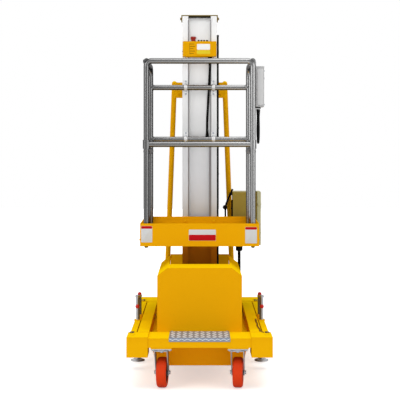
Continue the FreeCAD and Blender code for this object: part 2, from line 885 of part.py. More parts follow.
def jack(place_name, side, jack_y, spindle_top, folded):
    """Screw spindle with its foot, and the crank with a ball knob on top."""
    x = side * arm_x
    spindle = rod(f"jack_{place_name}_spindle", d.spindle_radius, "z", (x, jack_y, d.foot_bottom),
                  spindle_top - d.foot_bottom)
    foot = turned(f"jack_{place_name}_foot",
                  ((as_size(0), as_size(0)), (d.foot_radius, as_size(0)),
                   (d.foot_radius, d.foot_thickness),
                   (d.foot_collar_radius, d.foot_thickness * 2),
                   (d.foot_collar_radius, d.foot_collar_height),
                   (as_size(0), d.foot_collar_height)), "z", (x, jack_y, d.foot_bottom))
    node(fuse(f"jack_{place_name}_body", spindle, foot), f"jack_{place_name}")
    cap = rod(f"crank_{place_name}_cap", d.spindle_radius + d.crank_rod_radius / 2, "z",
              (x, jack_y, spindle_top), d.crank_rod_radius * 3)
    height = spindle_top + d.crank_rod_radius * 1.5
    if folded:
        reach = d.crank_reach
        arm = tube(f"crank_{place_name}_arm",
                   ((x, jack_y, height), (x, jack_y - reach, height),
                    (x, jack_y - reach, height - d.crank_drop)),
                   d.crank_rod_radius, d.crank_rod_radius * 1.5)
        knob = ball(f"crank_{place_name}_knob", d.ball_radius,
                    (x, jack_y - reach - d.ball_radius / 2, height - d.crank_drop))
        pieces = (cap, arm, knob)
    else:
        knob = ball(f"crank_{place_name}_knob", d.ball_radius,
                    (x, jack_y, height + d.crank_rod_radius + d.ball_radius / 2))
        pieces = (cap, knob)
    node(fuse(f"crank_{place_name}_body", *pieces), f"crank_{place_name}")


def outriggers():
    # Columns: end, pivot y, jack y, way the arm points, spindle top, crank folded
    for end, pivot_y, jack_y, way, top, folded in (
            ("front", front_pivot_y, back(d.front_jack_back), 1, d.spindle_top, True),
            ("rear", rear_pivot_y, back(d.rear_jack_back), -1, d.rear_spindle_top, False)):
        for word, side in SIDES:
            outrigger_arm(f"arm_{end}_{word}", side, pivot_y, jack_y, way)
            jack(f"{end}_{word}", side, jack_y, top, folded)


def lock_pins():
    pins = []
    for word, side in SIDES:
        x = side * arm_x
        for end, y in (("front", front_rail_y - d.lock_pin_inset),
                       ("rear", rear_rail_y + d.lock_pin_inset)):
            name = f"lock_pin_{end}_{word}"
            stem = rod(f"{name}_stem", d.lock_pin_radius, "z", (x, y, d.rail_top),
                       d.lock_pin_height)
            ring = doc.addObject("Part::Torus", f"{name}_ring")
            bind(ring, "Radius1", d.lock_ring_radius)
            bind(ring, "Radius2", d.lock_ring_wire)
            place(ring, x + side * d.lock_ring_radius, y, d.rail_top + d.lock_ring_wire * 2)
            pins.append(fuse(name, stem, ring))
    node(group("lock_pins_set", *pins), "lock_pins")


# Mast


def mast_profile(front, with_tongue):
    """Open channel at the front, and two hooked runners behind that ride in the next channel."""
    wide = d.mast_half_width
    lip = d.mast_lip_inner
    wall = d.mast_wall
    inner = wide - wall
    web_front = front + wall + d.channel_depth
    web_rear = web_front + wall
    half = [
        (lip, front), (wide, front), (wide, web_rear),
    ]
    if with_tongue:
        neck = d.neck_half_width
        foot_front = front + d.mast_pitch + wall + d.running_gap
        foot_rear = front + d.mast_pitch + wall + d.channel_depth - d.running_gap
        foot_out = inner - d.running_gap
        half += [
            (neck, web_rear), (neck, foot_front), (foot_out, foot_front), (foot_out, foot_rear),
            (foot_out - wall, foot_rear), (foot_out - wall, foot_front + wall),
            (neck - wall, foot_front + wall), (neck - wall, web_rear),
        ]
    back_half = [(-x, y) for x, y in reversed(half)]
    channel = [(-lip, front + wall), (-inner, front + wall), (-inner, web_front),
               (inner, web_front), (inner, front + wall), (lip, front + wall)]
    return half + back_half + channel


def mast_stage(label, number, with_tongue, bottom, top):
    front = back(mast_back) + (number - 1) * d.mast_pitch
    ring = mast_profile(front, with_tongue)
    return prism(label, "xy", [ring], bottom, top - bottom)


def mast():
    # Columns: node, how many sections it stands behind the front one
    stages = (
        ("mast_front_section", 0), ("mast_fourth_section", 1), ("mast_third_section", 2),
        ("mast_second_section", 3), ("mast_fixed_section", 4),
    )
    cap_bottom = mast_top - d.cap_thickness
    for label, behind in stages:
        fixed = behind == len(stages) - 1
        if fixed:
            bottom = floor_top + d.foot_plate_thickness
        else:
            bottom = d.stage_bottom + (len(stages) - 2 - behind) * d.stage_bottom_step
        top = cap_bottom - behind * d.stage_top_step
        node(mast_stage(f"{label}_body", behind + 1, not fixed, bottom, top), label)
    front = back(mast_back)
    depth = d.mast_wall * 2 + d.channel_depth
    wide = d.cap_half_width
    inner = d.mast_half_width + d.cap_ear_gap
    plate = block("cap_plate", (-wide, wide), (front, front + depth), (cap_bottom, mast_top))
    ears = [block(f"cap_ear_{word}", sided(side, inner, wide), (front, front + depth),
                  (cap_bottom - d.cap_ear_height, cap_bottom)) for word, side in SIDES]
    node(fuse("mast_cap_body", plate, *ears), "mast_cap")


def mast_foot():
    start = fixed_section_back - d.foot_plate_lead
    y = (back(start), back(start + d.foot_plate_length))
    top = floor_top + d.foot_plate_thickness
    half = foot_plate_half_width
    pieces = [block("mast_foot_base", (-half, half), y, (floor_top, top))]
    wing_y = (back(wing_back), back(wing_back) + d.wing_thickness)
    inner = d.mast_half_width
    for word, side in SIDES:
        pieces.append(block(f"mast_foot_wing_{word}", sided(side, inner, half), wing_y,
                            (top, d.wing_top)))
        pieces.append(block(f"mast_foot_cheek_{word}",
                            sided(side, inner, inner + d.wing_thickness),
                            (wing_y[0], wing_y[0] + d.cheek_length), (top, d.wing_top)))
    node(fuse("mast_foot_body", *pieces), "mast_foot")


def strut(word, side):
    rise = strut_top - floor_top
    spread = strut_foot_side - d.strut_top_side
    angle = Size(f"atan(({spread.text}) / ({rise.text}))",
                 math.degrees(math.atan(spread.value / rise.value)))
    length = root(rise * rise + spread * spread)
    y = back(strut_back)
    bars = []
    for piece, radius in (("outer", d.strut_radius), ("bore", d.strut_radius - d.strut_wall)):
        bar = doc.addObject("Part::Cylinder", f"strut_{word}_{piece}")
        bar.Placement = Placement(Vector(), Rotation(Vector(0, -side, 0), 1))
        bind(bar, "Radius", radius)
        bind(bar, "Height", length)
        bind(bar, "Placement.Rotation.Angle", angle)
        place(bar, side * strut_foot_side, y, floor_top)
        bars.append(bar)
    outer, bore = bars
    dome = ball(f"strut_{word}_dome", d.strut_radius, (side * d.strut_top_side, y, strut_top))
    inner = d.mast_half_width
    bracket = block(f"strut_bracket_{word}", sided(side, inner, d.strut_top_side),
                    (y - d.strut_bracket_depth / 2, y + d.strut_bracket_depth / 2),
                    (strut_bracket_bottom, strut_bracket_bottom + d.strut_bracket_height))
    half = d.strut_foot_length / 2
    foot = block(f"strut_foot_{word}",
                 sided(side, strut_foot_side - half / 2, strut_foot_side + half / 2),
                 (y - half, y + half), (floor_top, floor_top + d.strut_foot_plate))
    floor_cutter = block(f"strut_cutter_{word}", sided(side, inner, rail_inner),
                         (y - half, y + half), (floor_top - far, floor_top))
    whole = fuse(f"strut_{word}_whole", outer, dome, bracket, foot)
    return cut(f"strut_{word}", whole, bore, floor_cutter)


def struts():
    node(group("struts_pair", *[strut(word, side) for word, side in SIDES]), "struts")


# Electrical box


def electrical_box():
    x0 = box_inner_side
    x1 = x0 + d.box_depth
    y = (back(box_back), back(box_back + d.box_length))
    z = (d.box_bottom, d.box_bottom + d.box_height)
    outer = block("electrical_box_outer", (x0, x1), y, z)
    hollow = block("electrical_box_hollow", (x0 + d.box_wall, x1 + far),
                   (y[0] + d.box_wall, y[1] - d.box_wall), (z[0] + d.box_wall, z[1] - d.box_wall))
    strap_mid = z[0] + d.box_strap_rise
    strap = block("electrical_box_strap", (d.mast_half_width, x0 + far),
                  (y[1], y[1] + d.box_wall * 2),
                  (strap_mid - d.box_strap_height / 2, strap_mid + d.box_strap_height / 2))
    hinge_x = x1 + d.lid_seal
    hinge_y = y[1] + d.hinge_offset
    pieces = [cut("electrical_box_shell", outer, hollow), strap]
    lid_pieces = []
    lid_x = (x1 + d.running_gap, x1 + d.lid_thickness)
    lid_outer = block("lid_outer", lid_x, y, z)
    lid_hollow = block("lid_hollow", (lid_x[0] - far, lid_x[1] - d.box_wall),
                       (y[0] + d.box_wall, y[1] - d.box_wall),
                       (z[0] + d.box_wall, z[1] - d.box_wall))
    lid_pieces.append(cut("lid_shell", lid_outer, lid_hollow))
    bores = []
    for end, low in (("low", z[0] + d.hinge_inset), ("high", z[1] - d.hinge_inset)):
        middle = low if end == "low" else low - d.hinge_length
        pin = rod(f"hinge_{end}_pin", d.hinge_pin_radius, "z", (hinge_x, hinge_y, middle),
                  d.hinge_length)
        fixed = rod(f"hinge_{end}_fixed", d.hinge_radius, "z", (hinge_x, hinge_y, middle),
                    d.hinge_length / 2 - d.running_gap)
        leaf = block(f"hinge_{end}_leaf", (x1 - d.hinge_length / 2, hinge_x),
                     (y[1], y[1] + d.box_wall), (middle, middle + d.hinge_length / 2
                                                 - d.running_gap))
        web = block(f"hinge_{end}_web", (hinge_x - d.box_wall, hinge_x),
                    (y[1], hinge_y), (middle, middle + d.hinge_length / 2 - d.running_gap))
        pieces += [pin, fixed, leaf, web]
        upper = middle + d.hinge_length / 2
        moving = rod(f"hinge_{end}_moving", d.hinge_radius, "z", (hinge_x, hinge_y, upper),
                     d.hinge_length / 2)
        arm = block(f"hinge_{end}_arm", (hinge_x, hinge_x + d.hinge_radius),
                    (y[1] - d.box_wall, hinge_y), (upper, upper + d.hinge_length / 2))
        bores.append(rod(f"hinge_{end}_bore", d.hinge_pin_radius + d.running_gap, "z",
                         (hinge_x, hinge_y, upper - far), d.hinge_length / 2 + far * 2))
        lid_pieces += [moving, arm]
    node(fuse("electrical_box_body", *pieces), "electrical_box")
    node(cut("electrical_lid_body", fuse("electrical_lid_whole", *lid_pieces), *bores),
         "electrical_box_lid")


def box_glands():
    x = box_gland_side
    y = back(box_gland_back)
    bore = d.conduit_radius
    upper_low = d.box_bottom - d.box_gland_length
    upper = turned("upper_gland", (
        (bore, as_size(0)), (d.box_gland_radius - d.sheet, as_size(0)),
        (d.box_gland_radius, d.sheet), (d.box_gland_radius, d.box_gland_length),
        (bore, d.box_gland_length)), "z", (x, y, upper_low))
    lower = turned("lower_gland", (
        (bore, as_size(0)), (d.box_gland_radius, as_size(0)),
        (d.box_gland_radius, d.floor_gland_height - d.sheet),
        (d.box_gland_radius - d.sheet, d.floor_gland_height), (bore, d.floor_gland_height)),
        "z", (x, y, floor_top))
    node(group("box_glands_pair", upper, lower), "box_glands")


def box_conduit():
    node(rod("box_conduit_body", d.conduit_radius, "z",
             (box_gland_side, back(box_gland_back), floor_top), d.box_bottom - floor_top),
         "box_conduit")


# Basket


def platform():
    half = d.basket_half_width
    y = (back(basket_back), back(mast_back))
    z = (d.basket_bottom, d.basket_bottom + d.toe_board_height)
    outer = block("platform_outer", (-half, half), y, z)
    hollow = block("platform_hollow", (-half + d.toe_board, half - d.toe_board),
                   (y[0] + d.toe_board, y[1] - d.toe_board), (z[0] + d.basket_floor, z[1] + far))
    margin = d.rail_radius + d.floor_panel_margin
    inner = post_side - margin
    panel = block("platform_panel", (-inner, inner),
                  (back(front_post_back) + margin, back(rear_post_back) - margin),
                  (z[0] + d.basket_floor, z[0] + d.basket_floor + d.floor_panel))
    node(fuse("platform_body", cut("platform_shell", outer, hollow), panel), "platform")


def guard_rail():
    floor = d.basket_bottom + d.basket_floor
    side = post_side
    front = back(front_post_back)
    rear = back(rear_post_back)
    top = d.top_rail_height
    hoop = tube("front_hoop_body", ((-side, front, floor), (-side, front, top),
                                    (side, front, top), (side, front, floor)),
                d.rail_radius, d.front_bend)
    node(hoop, "front_hoop")
    rails = []
    for word, way in SIDES:
        x = way * side
        bent = tube(f"side_rail_{word}_bent", ((x, front, top), (x, rear, top), (x, rear, floor)),
                    d.rail_radius, d.rear_bend)
        middle = rod(f"side_rail_{word}_middle", d.rail_radius, "y",
                     (x, front, side_middle_height), rear - front)
        joined = fuse(f"side_rail_{word}_whole", bent, middle)
        rails.append(cut(f"side_rail_{word}", joined, hoop))
    pair = group("side_rails_pair", *rails)
    node(pair, "side_rails")
    bars = []
    for word, height in (("upper", rear_upper_height), ("middle", rear_middle_height)):
        bar = rod(f"rear_bar_{word}_whole", d.rail_radius, "x", (-side, rear, height), side * 2)
        bars.append(cut(f"rear_bar_{word}", bar, *rails))
    node(group("rear_bars_pair", *bars), "rear_bars")


def rail_clamps():
    """Plates on the mast flanges with U-bolts round the two rear bars."""
    bar_y = back(rear_post_back)
    face = back(mast_back)
    inner = d.rail_radius
    clamps = []
    for height_word, height in (("upper", rear_upper_height), ("middle", rear_middle_height)):
        for word, side in SIDES:
            x = side * d.clamp_side
            name = f"clamp_{height_word}_{word}"
            spacer = block(f"{name}_spacer", (x - d.clamp_width / 2, x + d.clamp_width / 2),
                           (bar_y, face), (height - d.clamp_height / 2,
                                           height + d.clamp_height / 2))
            saddle = rod(f"{name}_saddle", inner, "x",
                         (x - d.clamp_width, bar_y, height), d.clamp_width * 2)
            front_cut = block(f"{name}_front_cut", (x - d.clamp_width, x + d.clamp_width),
                              (bar_y - far, bar_y + inner - d.clamp_seat),
                              (height - d.clamp_height, height + d.clamp_height))
            plate = cut(f"{name}_plate", spacer, front_cut, saddle)
            bow = doc.addObject("Part::Torus", f"{name}_bow")
            bow.Placement = Placement(Vector(), Rotation(Vector(1, 1, 1), 120))
            bind(bow, "Radius1", inner + d.u_bolt_radius)
            bind(bow, "Radius2", d.u_bolt_radius)
            bow.Angle3 = 180
            place(bow, x, bar_y, height)
            bow.Placement = Placement(bow.Placement.Base, TURNED["x"].multiply(
                Rotation(Vector(0, 0, 1), 180)))
            legs = [rod(f"{name}_leg_{end}", d.u_bolt_radius, "y",
                        (x, bar_y, height + way * (inner + d.u_bolt_radius)),
                        face - bar_y) for end, way in (("low", -1), ("high", 1))]
            clamps.append(fuse(name, plate, bow, *legs))
    node(group("rail_clamps_set", *clamps), "rail_clamps")


def entry_bar():
    front = back(front_post_back)
    low = entry_bar_height - d.sleeve_bar_height / 2
    pieces = [rod("entry_bar_rod", d.rail_radius, "x", (-post_side, front, entry_bar_height),
                  post_side * 2)]
    bores = []
    for word, side in SIDES:
        x = side * post_side
        pieces.append(rod(f"entry_sleeve_{word}", d.sleeve_bar_radius, "z", (x, front, low),
                          d.sleeve_bar_height))
        bores.append(rod(f"entry_bore_{word}", d.rail_radius + d.running_gap, "z",
                         (x, front, low - far), d.sleeve_bar_height + far * 2))
    node(cut("entry_bar_body", fuse("entry_bar_whole", *pieces), *bores), "entry_bar")


def control_box():
    half = d.control_half_width
    y1 = back(mast_back)
    ring = ((-half, control_bottom), (half, control_bottom),
            (half, control_bottom + d.control_height), (-half, control_bottom
                                                          + d.control_height))
    node(prism("control_box_body", "xz", [ring], y1 - d.control_depth, d.control_depth,
               corner=d.control_corner), "control_box")
    top = control_bottom + d.control_height
    y = y1 - d.control_depth + d.button_set
    radius = d.stop_radius
    node(turned("emergency_stop_body", (
        (as_size(0), as_size(0)), (radius * 0.72, as_size(0)),
        (radius * 0.76, d.stop_height * 0.45), (radius * 0.97, d.stop_height * 0.7),
        (radius, d.stop_height * 0.9), (radius * 0.9, d.stop_height),
        (as_size(0), d.stop_height)), "z",
        (-d.stop_side, y, top)), "emergency_stop")
    buttons = [rod(f"button_{k}", d.button_radius, "z",
                   (-d.button_side + k * d.button_pitch, y, top), d.button_height)
               for k in range(4)]
    node(group("control_buttons_row", *buttons), "control_buttons")


def junction_box():
    x = (junction_inner_side, junction_inner_side + d.junction_width)
    y = (back(junction_back), back(junction_back + d.junction_length))
    z = (junction_bottom, junction_bottom + d.junction_height)
    case = block("junction_case", x, y, z)
    margin = d.junction_lid_margin
    lid = block("junction_front", (x[0] + margin, x[1] - margin / 2), (y[0] - d.junction_lid, y[0]),
                (z[0] + margin, z[1] - margin))
    pieces = [case, lid]
    bores = []
    for end, way in (("front", 1), ("rear", -1)):
        start = y[0] if way > 0 else y[1]
        centre = start + way * d.hanger_inset
        ring_y = centre - d.hanger_width / 2
        pieces.append(rod(f"hanger_{end}_ring", d.hanger_radius, "y",
                          (post_side, ring_y, d.top_rail_height), d.hanger_width))
        pieces.append(block(f"hanger_{end}_plate",
                            (post_side + d.rail_radius + d.running_gap, x[0] + d.sheet),
                            (ring_y, ring_y + d.hanger_width),
                            (z[1] - margin * 3, d.top_rail_height)))
        bores.append(rod(f"hanger_{end}_bore", d.rail_radius + d.running_gap, "y",
                         (post_side, ring_y - far, d.top_rail_height),
                         d.hanger_width + far * 2))
    for k, gland_y in enumerate(junction_gland_ys()):
        pieces.append(rod(f"junction_gland_{k}", d.gland_radius, "z",
                          (junction_gland_x() + d.junction_gland_step * k, gland_y,
                           z[0] - d.gland_length), d.gland_length))
    node(cut("junction_box_body", fuse("junction_box_whole", *pieces), *bores), "junction_box")


def junction_gland_x():
    return junction_inner_side + d.gland_radius + d.sheet


def junction_gland_ys():
    return (back(junction_back + d.junction_gland_inset),
            back(junction_back + d.junction_length - d.junction_gland_inset))


# Cables


def hung_cable(label, start, span, shares):
    """Cable led from start through the shares of its span: sideways, rearwards, downwards."""
    points = [tuple(place + size * share for place, size, share in zip(start, span, row))
              for row in shares]
    node(tube(f"{label}_body", points, d.cable_radius), label)


def junction_cable():
    """Loop that hangs between the two glands under the junction box."""
    y0, y1 = junction_gland_ys()
    hung_cable("junction_cable",
               (junction_gland_x(), y0, junction_bottom - d.gland_length),
               (d.junction_gland_step, y1 - y0, -d.junction_cable_drop),
               ((0, 0, 0), (-0.05, -0.006, 0.216), (-0.2, -0.017, 0.432), (-0.3, -0.011, 0.642),
                (-0.1, 0.006, 0.852), (0.3, 0.299, 1.002), (0.7, 0.711, 1.002),
                (1.1, 1.004, 0.852), (1.2, 1.011, 0.636), (1.15, 1.011, 0.426),
                (1.04, 1.006, 0.21), (1, 1, 0)))


def control_cable():
    """Cable from under the control box into the mast's channel, down to its lower gland."""
    top = control_bottom - d.gland_length
    hung_cable("control_cable",
               (d.control_cable_side, control_gland_y(), top),
               (-d.mast_gland_shift, d.mast_gland_set, control_cable_end_z() - top),
               ((0, 0, 0), (0.02, 0.008, 0.099), (0.12, 0.117, 0.2), (0.28, 0.4, 0.3),
                (0.44, 0.667, 0.401), (0.58, 0.85, 0.502), (0.72, 0.933, 0.601),
                (0.88, 0.967, 0.705), (1.0, 0.975, 0.806), (1.04, 0.992, 0.908), (1, 1, 1)))


def control_gland_y():
    return back(mast_back) - d.control_depth / 3


def control_cable_end_z():
    return rear_middle_height + d.gland_length


def cable_glands():
    x = d.control_cable_side
    y = control_gland_y()
    upper = rod("control_gland", d.gland_radius, "z",
                (x, y, control_bottom - d.gland_length), d.gland_length)
    lower = rod("mast_gland", d.gland_radius, "z",
                (x - d.mast_gland_shift, y + d.mast_gland_set,
                 rear_middle_height - d.gland_length), d.gland_length * 2)
    pieces = [upper, lower]
    side = d.mast_half_width
    y0 = back(mast_back) + d.mast_cable_set
    cable_x = side + d.running_gap + d.mast_cable_radius
    span = mast_cable_top - d.mast_cable_bottom
    for k in range(6):
        z = d.mast_cable_bottom + span * (k / 5)
        low = z - d.clip_height / 2
        clip = block(f"clip_{k}_outer", (side, cable_x + d.mast_cable_radius + d.clip_reach),
                     (y0 - d.mast_cable_radius - d.clip_reach,
                      y0 + d.mast_cable_radius + d.clip_reach), (low, low + d.clip_height))
        bore = rod(f"clip_{k}_bore", d.mast_cable_radius, "z", (cable_x, y0, low - far),
                   d.clip_height + far * 2)
        pieces.append(cut(f"clip_{k}", clip, bore))
    node(group("cable_glands_set", *pieces), "cable_glands")
    node(rod("mast_cable_body", d.mast_cable_radius, "z",
             (cable_x, y0, d.mast_cable_bottom - d.clip_height / 2), span + d.clip_height),
         "mast_cable")


for build in (chassis_frame, front_deck, corner_housings, step_plate, hood, power_unit,
              underbody_tray, caster_plates, running_gear, outriggers, lock_pins, mast, mast_foot,
              struts, electrical_box, box_glands, box_conduit, platform, guard_rail, rail_clamps,
              entry_bar, control_box, junction_box, junction_cable, control_cable, cable_glands):
    build()

doc.recompute()

faults = [thing.Name for thing in doc.Objects
          if "Invalid" in thing.State or "Error" in thing.State]
for thing in nodes:
    if thing.Shape.isNull() or not thing.Shape.isValid() or not thing.Shape.Solids:
        faults.append(thing.Label)
if faults:
    raise RuntimeError("failed: " + ", ".join(faults))

for thing in nodes:
    thing.Shape.exportStep(os.path.join("parts", f"{thing.Label}.step"))
print(len(nodes), "nodes written")
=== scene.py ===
import json
import math

import bmesh
import bpy
from mathutils import Matrix, Vector


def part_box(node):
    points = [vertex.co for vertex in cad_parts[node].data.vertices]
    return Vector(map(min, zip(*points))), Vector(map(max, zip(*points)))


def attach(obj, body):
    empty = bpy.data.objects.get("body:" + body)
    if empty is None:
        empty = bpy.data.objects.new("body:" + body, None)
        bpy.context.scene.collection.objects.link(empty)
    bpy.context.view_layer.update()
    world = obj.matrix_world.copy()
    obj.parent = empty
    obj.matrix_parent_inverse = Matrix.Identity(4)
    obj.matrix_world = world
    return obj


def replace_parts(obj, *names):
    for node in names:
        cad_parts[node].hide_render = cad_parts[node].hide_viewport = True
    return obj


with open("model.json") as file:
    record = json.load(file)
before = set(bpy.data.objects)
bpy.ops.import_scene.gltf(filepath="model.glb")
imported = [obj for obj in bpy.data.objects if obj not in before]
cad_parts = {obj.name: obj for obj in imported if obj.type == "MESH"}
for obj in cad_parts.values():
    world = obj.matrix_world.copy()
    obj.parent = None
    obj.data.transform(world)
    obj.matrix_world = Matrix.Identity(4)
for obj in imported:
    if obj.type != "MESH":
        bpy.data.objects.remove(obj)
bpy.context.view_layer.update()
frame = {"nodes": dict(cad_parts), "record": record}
NODES = frame["nodes"]
HALF_LENGTH = 0.685        # the chassis reaches this far in front of and behind the origin


def back(distance):
    """Y of a place this many metres behind the front edge of the chassis."""
    return distance - HALF_LENGTH


# Places and sizes of the solids that several pieces follow, in metres
WHEEL_X, WHEEL_RADIUS = 0.188, 0.075
KINGPIN_Y, CASTER_AXLE_Y, REAR_AXLE_Y = back(0.05), back(0.086), back(1.29)
PIVOT_X = 0.3325            # outrigger pivots and their jacks
STRUT_Y = back(1.216)
POST_X, FRONT_POST_Y, REAR_POST_Y = 0.283, back(0.455), back(0.940)
RAIL_RADIUS = 0.015
REAR_BAR_HEIGHTS = (1.535, 1.236)
MIDDLE_RAIL_HEIGHT = 1.1682
CLAMP_X, CLAMP_NUT_Y = 0.080, back(0.953)
CONTROL_BOX_Y = 0.240
CONTROL_GLAND = (0.060, 0.255)
MAST_GLAND = (0.044, 0.3135)
JUNCTION_GLANDS = ((0.3125, -0.186), (0.3205, -0.096))
MAST_CABLE_X, MAST_CABLE_Y = 0.1048, 0.299
BOX_FRONT_Y, BOX_BACK_Y = back(1.006), back(1.186)
BOX_BOTTOM, BOX_TOP = 0.618, 0.928
CABLE_DIAMETER = 0.013


def add_object(name, data):
    made = bpy.data.objects.new(name, data)
    bpy.context.scene.collection.objects.link(made)
    return made


# Camera

camera_data = bpy.data.cameras.new("camera")
camera = add_object("camera", camera_data)
camera_data.lens = 94.5
camera_data.sensor_width = 36
camera_data.shift_y = -0.1375
camera_data.shift_x = 0.001
camera_data.clip_end = 100
camera.location = (0.0, -5.815, 1.203)
camera.rotation_euler = (math.radians(90), 0, 0)
bpy.context.scene.camera = camera


# Materials

def material(name):
    made = bpy.data.materials.new(name)
    made.use_nodes = True
    tree = made.node_tree
    return made, tree, tree.nodes["Principled BSDF"]


def add(tree, kind, **settings):
    item = tree.nodes.new(kind)
    for key, value in settings.items():
        if hasattr(item, key):
            setattr(item, key, value)
        else:
            item.inputs[key.replace("_", " ")].default_value = value
    return item


def place_coordinates(tree, stretch):
    where = add(tree, "ShaderNodeTexCoord")
    mapping = add(tree, "ShaderNodeMapping")
    mapping.inputs["Scale"].default_value = stretch
    tree.links.new(where.outputs["Object"], mapping.inputs["Vector"])
    return mapping.outputs["Vector"]


def noise(tree, scale, stretch=(1, 1, 1), detail=4, rough=0.55):
    item = add(tree, "ShaderNodeTexNoise", Scale=scale, Detail=detail, Roughness=rough)
    tree.links.new(place_coordinates(tree, stretch), item.inputs["Vector"])
    return item.outputs["Fac"]


def ramp(tree, source, stops):
    """Colour ramp; stops are (place, grey or colour)."""
    item = add(tree, "ShaderNodeValToRGB")
    elements = item.color_ramp.elements
    while len(elements) < len(stops):
        elements.new(0.5)
    for element, (at, colour) in zip(elements, stops):
        element.position = at
        rgb = colour if isinstance(colour, tuple) else (colour,) * 3
        element.color = (*rgb, 1)
    tree.links.new(source, item.inputs["Fac"])
    return item.outputs["Color"]


def math_node(tree, operation, a, b=None):
    item = add(tree, "ShaderNodeMath", operation=operation)
    for slot, value in ((0, a), (1, b)):
        if value is None:
            continue
        if isinstance(value, (int, float)):
            item.inputs[slot].default_value = value
        else:
            tree.links.new(value, item.inputs[slot])
    return item.outputs["Value"]


def mix(tree, amount, a, b, blend="MIX"):
    item = add(tree, "ShaderNodeMix", data_type="RGBA", blend_type=blend)
    for socket, value in ((item.inputs[0], amount), (item.inputs[6], a), (item.inputs[7], b)):
        if isinstance(value, (int, float)):
            socket.default_value = value
        elif isinstance(value, tuple):
            socket.default_value = (*value, 1)
        else:
            tree.links.new(value, socket)
    return item.outputs[2]


def times(tree, a, b):
    """Product of two colours."""
    return mix(tree, 1.0, a, b, "MULTIPLY")


def part_of(tree, kind, axis):
    """One component of the object's own coordinates or normals."""
    where = add(tree, "ShaderNodeTexCoord")
    split = add(tree, "ShaderNodeSeparateXYZ")
    tree.links.new(where.outputs[kind], split.inputs["Vector"])
    return split.outputs[axis]


def height(tree):
    return part_of(tree, "Object", "Z")


def facing_up(tree):
    return part_of(tree, "Normal", "Z")


def bumped(tree, shader, relief, distance, strength, round_edges=0.0):
    bump = add(tree, "ShaderNodeBump", Distance=distance, Strength=strength)
    tree.links.new(relief, bump.inputs["Height"])
    if round_edges:
        bevel = add(tree, "ShaderNodeBevel", samples=4, Radius=round_edges)
        tree.links.new(bevel.outputs["Normal"], bump.inputs["Normal"])
    tree.links.new(bump.outputs["Normal"], shader.inputs["Normal"])


def set_roughness(tree, shader, source, low, high):
    tree.links.new(ramp(tree, source, ((0.3, low), (0.7, high))), shader.inputs["Roughness"])


def scaled(colour, factor):
    return tuple(min(1.0, c * factor) for c in colour)


def paint(name, colour, rough=0.48, top=None, low=None, deck=None, shine=0.08):
    """Powder coat with orange peel; it may have a painted highlight on faces that look up, and
    painted bounce light low down and at the deck.
    """
    made, tree, shader = material(name)
    body = mix(tree, noise(tree, 5, detail=5), scaled(colour, 0.97), scaled(colour, 1.03))
    # The low and deck tones are painted bounce light, the top tone a painted highlight on faces
    # that look up
    for tone, source, stops in ((low, height, LOW_BOUNCE_STOPS), (deck, height, DECK_BOUNCE_STOPS),
                                (top, facing_up, TOP_HIGHLIGHT_STOPS)):
        if tone:
            body = mix(tree, ramp(tree, source(tree), stops), body, tone)
    speck = ramp(tree, noise(tree, 60, detail=3), ((0.30, 0.97), (0.40, 1.0)))
    tree.links.new(times(tree, body, speck), shader.inputs["Base Color"])
    set_roughness(tree, shader, noise(tree, 22), rough - 0.05, rough + 0.09)
    grazing = add(tree, "ShaderNodeLayerWeight", Blend=0.5).outputs["Facing"]
    tree.links.new(ramp(tree, grazing, ((0.45, shine), (0.75, 0.0))),
                   shader.inputs["Specular IOR Level"])
    bumped(tree, shader, noise(tree, 420, detail=2), 0.0004, 0.25, 0.0012)
    return made


def metal(name, colour, rough, grain=(400, 400, 4), contrast=0.12, metallic=1.0, painted_light_tones=None,
          rim=1.0):
    """Brushed or drawn metal; its tones by height, if given, are painted light and shade; rim is
    the strength of its edge shine.
    """
    made, tree, shader = material(name)
    streak = noise(tree, 1.0, grain, detail=6, rough=0.7)
    body = mix(tree, streak, scaled(colour, 1 - contrast), scaled(colour, 1 + contrast * 0.6))
    cloud = ramp(tree, noise(tree, 7), ((0.3, 0.94), (0.7, 1.0)))
    body = times(tree, body, cloud)
    # Painted light and shade by height
    if painted_light_tones:
        tones = ramp(tree, math_node(tree, "DIVIDE", height(tree), TONE_HEIGHT), painted_light_tones)
        body = times(tree, body, tones)
    tree.links.new(body, shader.inputs["Base Color"])
    set_roughness(tree, shader, streak, rough - 0.06, rough + 0.08)
    shader.inputs["Metallic"].default_value = metallic
    shader.inputs["Specular Tint"].default_value = (rim, rim, rim, 1)
    bumped(tree, shader, streak, 0.0002, 0.15, 0.0008)
    return made


def screw_metal(name):
    """Zinc-plated screw: fine thread rings up its length, with painted shade and painted
    reflection of the hood on the side towards the hood.
    """
    made, tree, shader = material(name)
    where = add(tree, "ShaderNodeTexCoord")
    thread = add(tree, "ShaderNodeTexWave", wave_type="BANDS", bands_direction="Z", Scale=80)
    tree.links.new(where.outputs["Object"], thread.inputs["Vector"])
    tone = ramp(tree, thread.outputs["Fac"],
                ((0.2, (0.42, 0.44, 0.47)), (0.8, (0.72, 0.75, 0.80))))
    tone = times(tree, tone, ramp(tree, noise(tree, 40), ((0.3, 0.85), (0.7, 1.0))))
    # Painted shade and reflection: dark on the side that faces the hood
    outward = math_node(tree, "MULTIPLY", part_of(tree, "Normal", "X"),
                        math_node(tree, "MULTIPLY", part_of(tree, "Object", "X"), 1.5))
    painted_hood_shade = ramp(tree, math_node(tree, "ADD", outward, 0.5),
                 ((0.05, 0.16), (0.42, 0.30), (0.62, 1.0)))
    tree.links.new(times(tree, tone, painted_hood_shade), shader.inputs["Base Color"])
    shader.inputs["Metallic"].default_value = 0.25
    shader.inputs["Roughness"].default_value = 0.36
    bumped(tree, shader, thread.outputs["Fac"], 0.0006, 0.6)
    return made


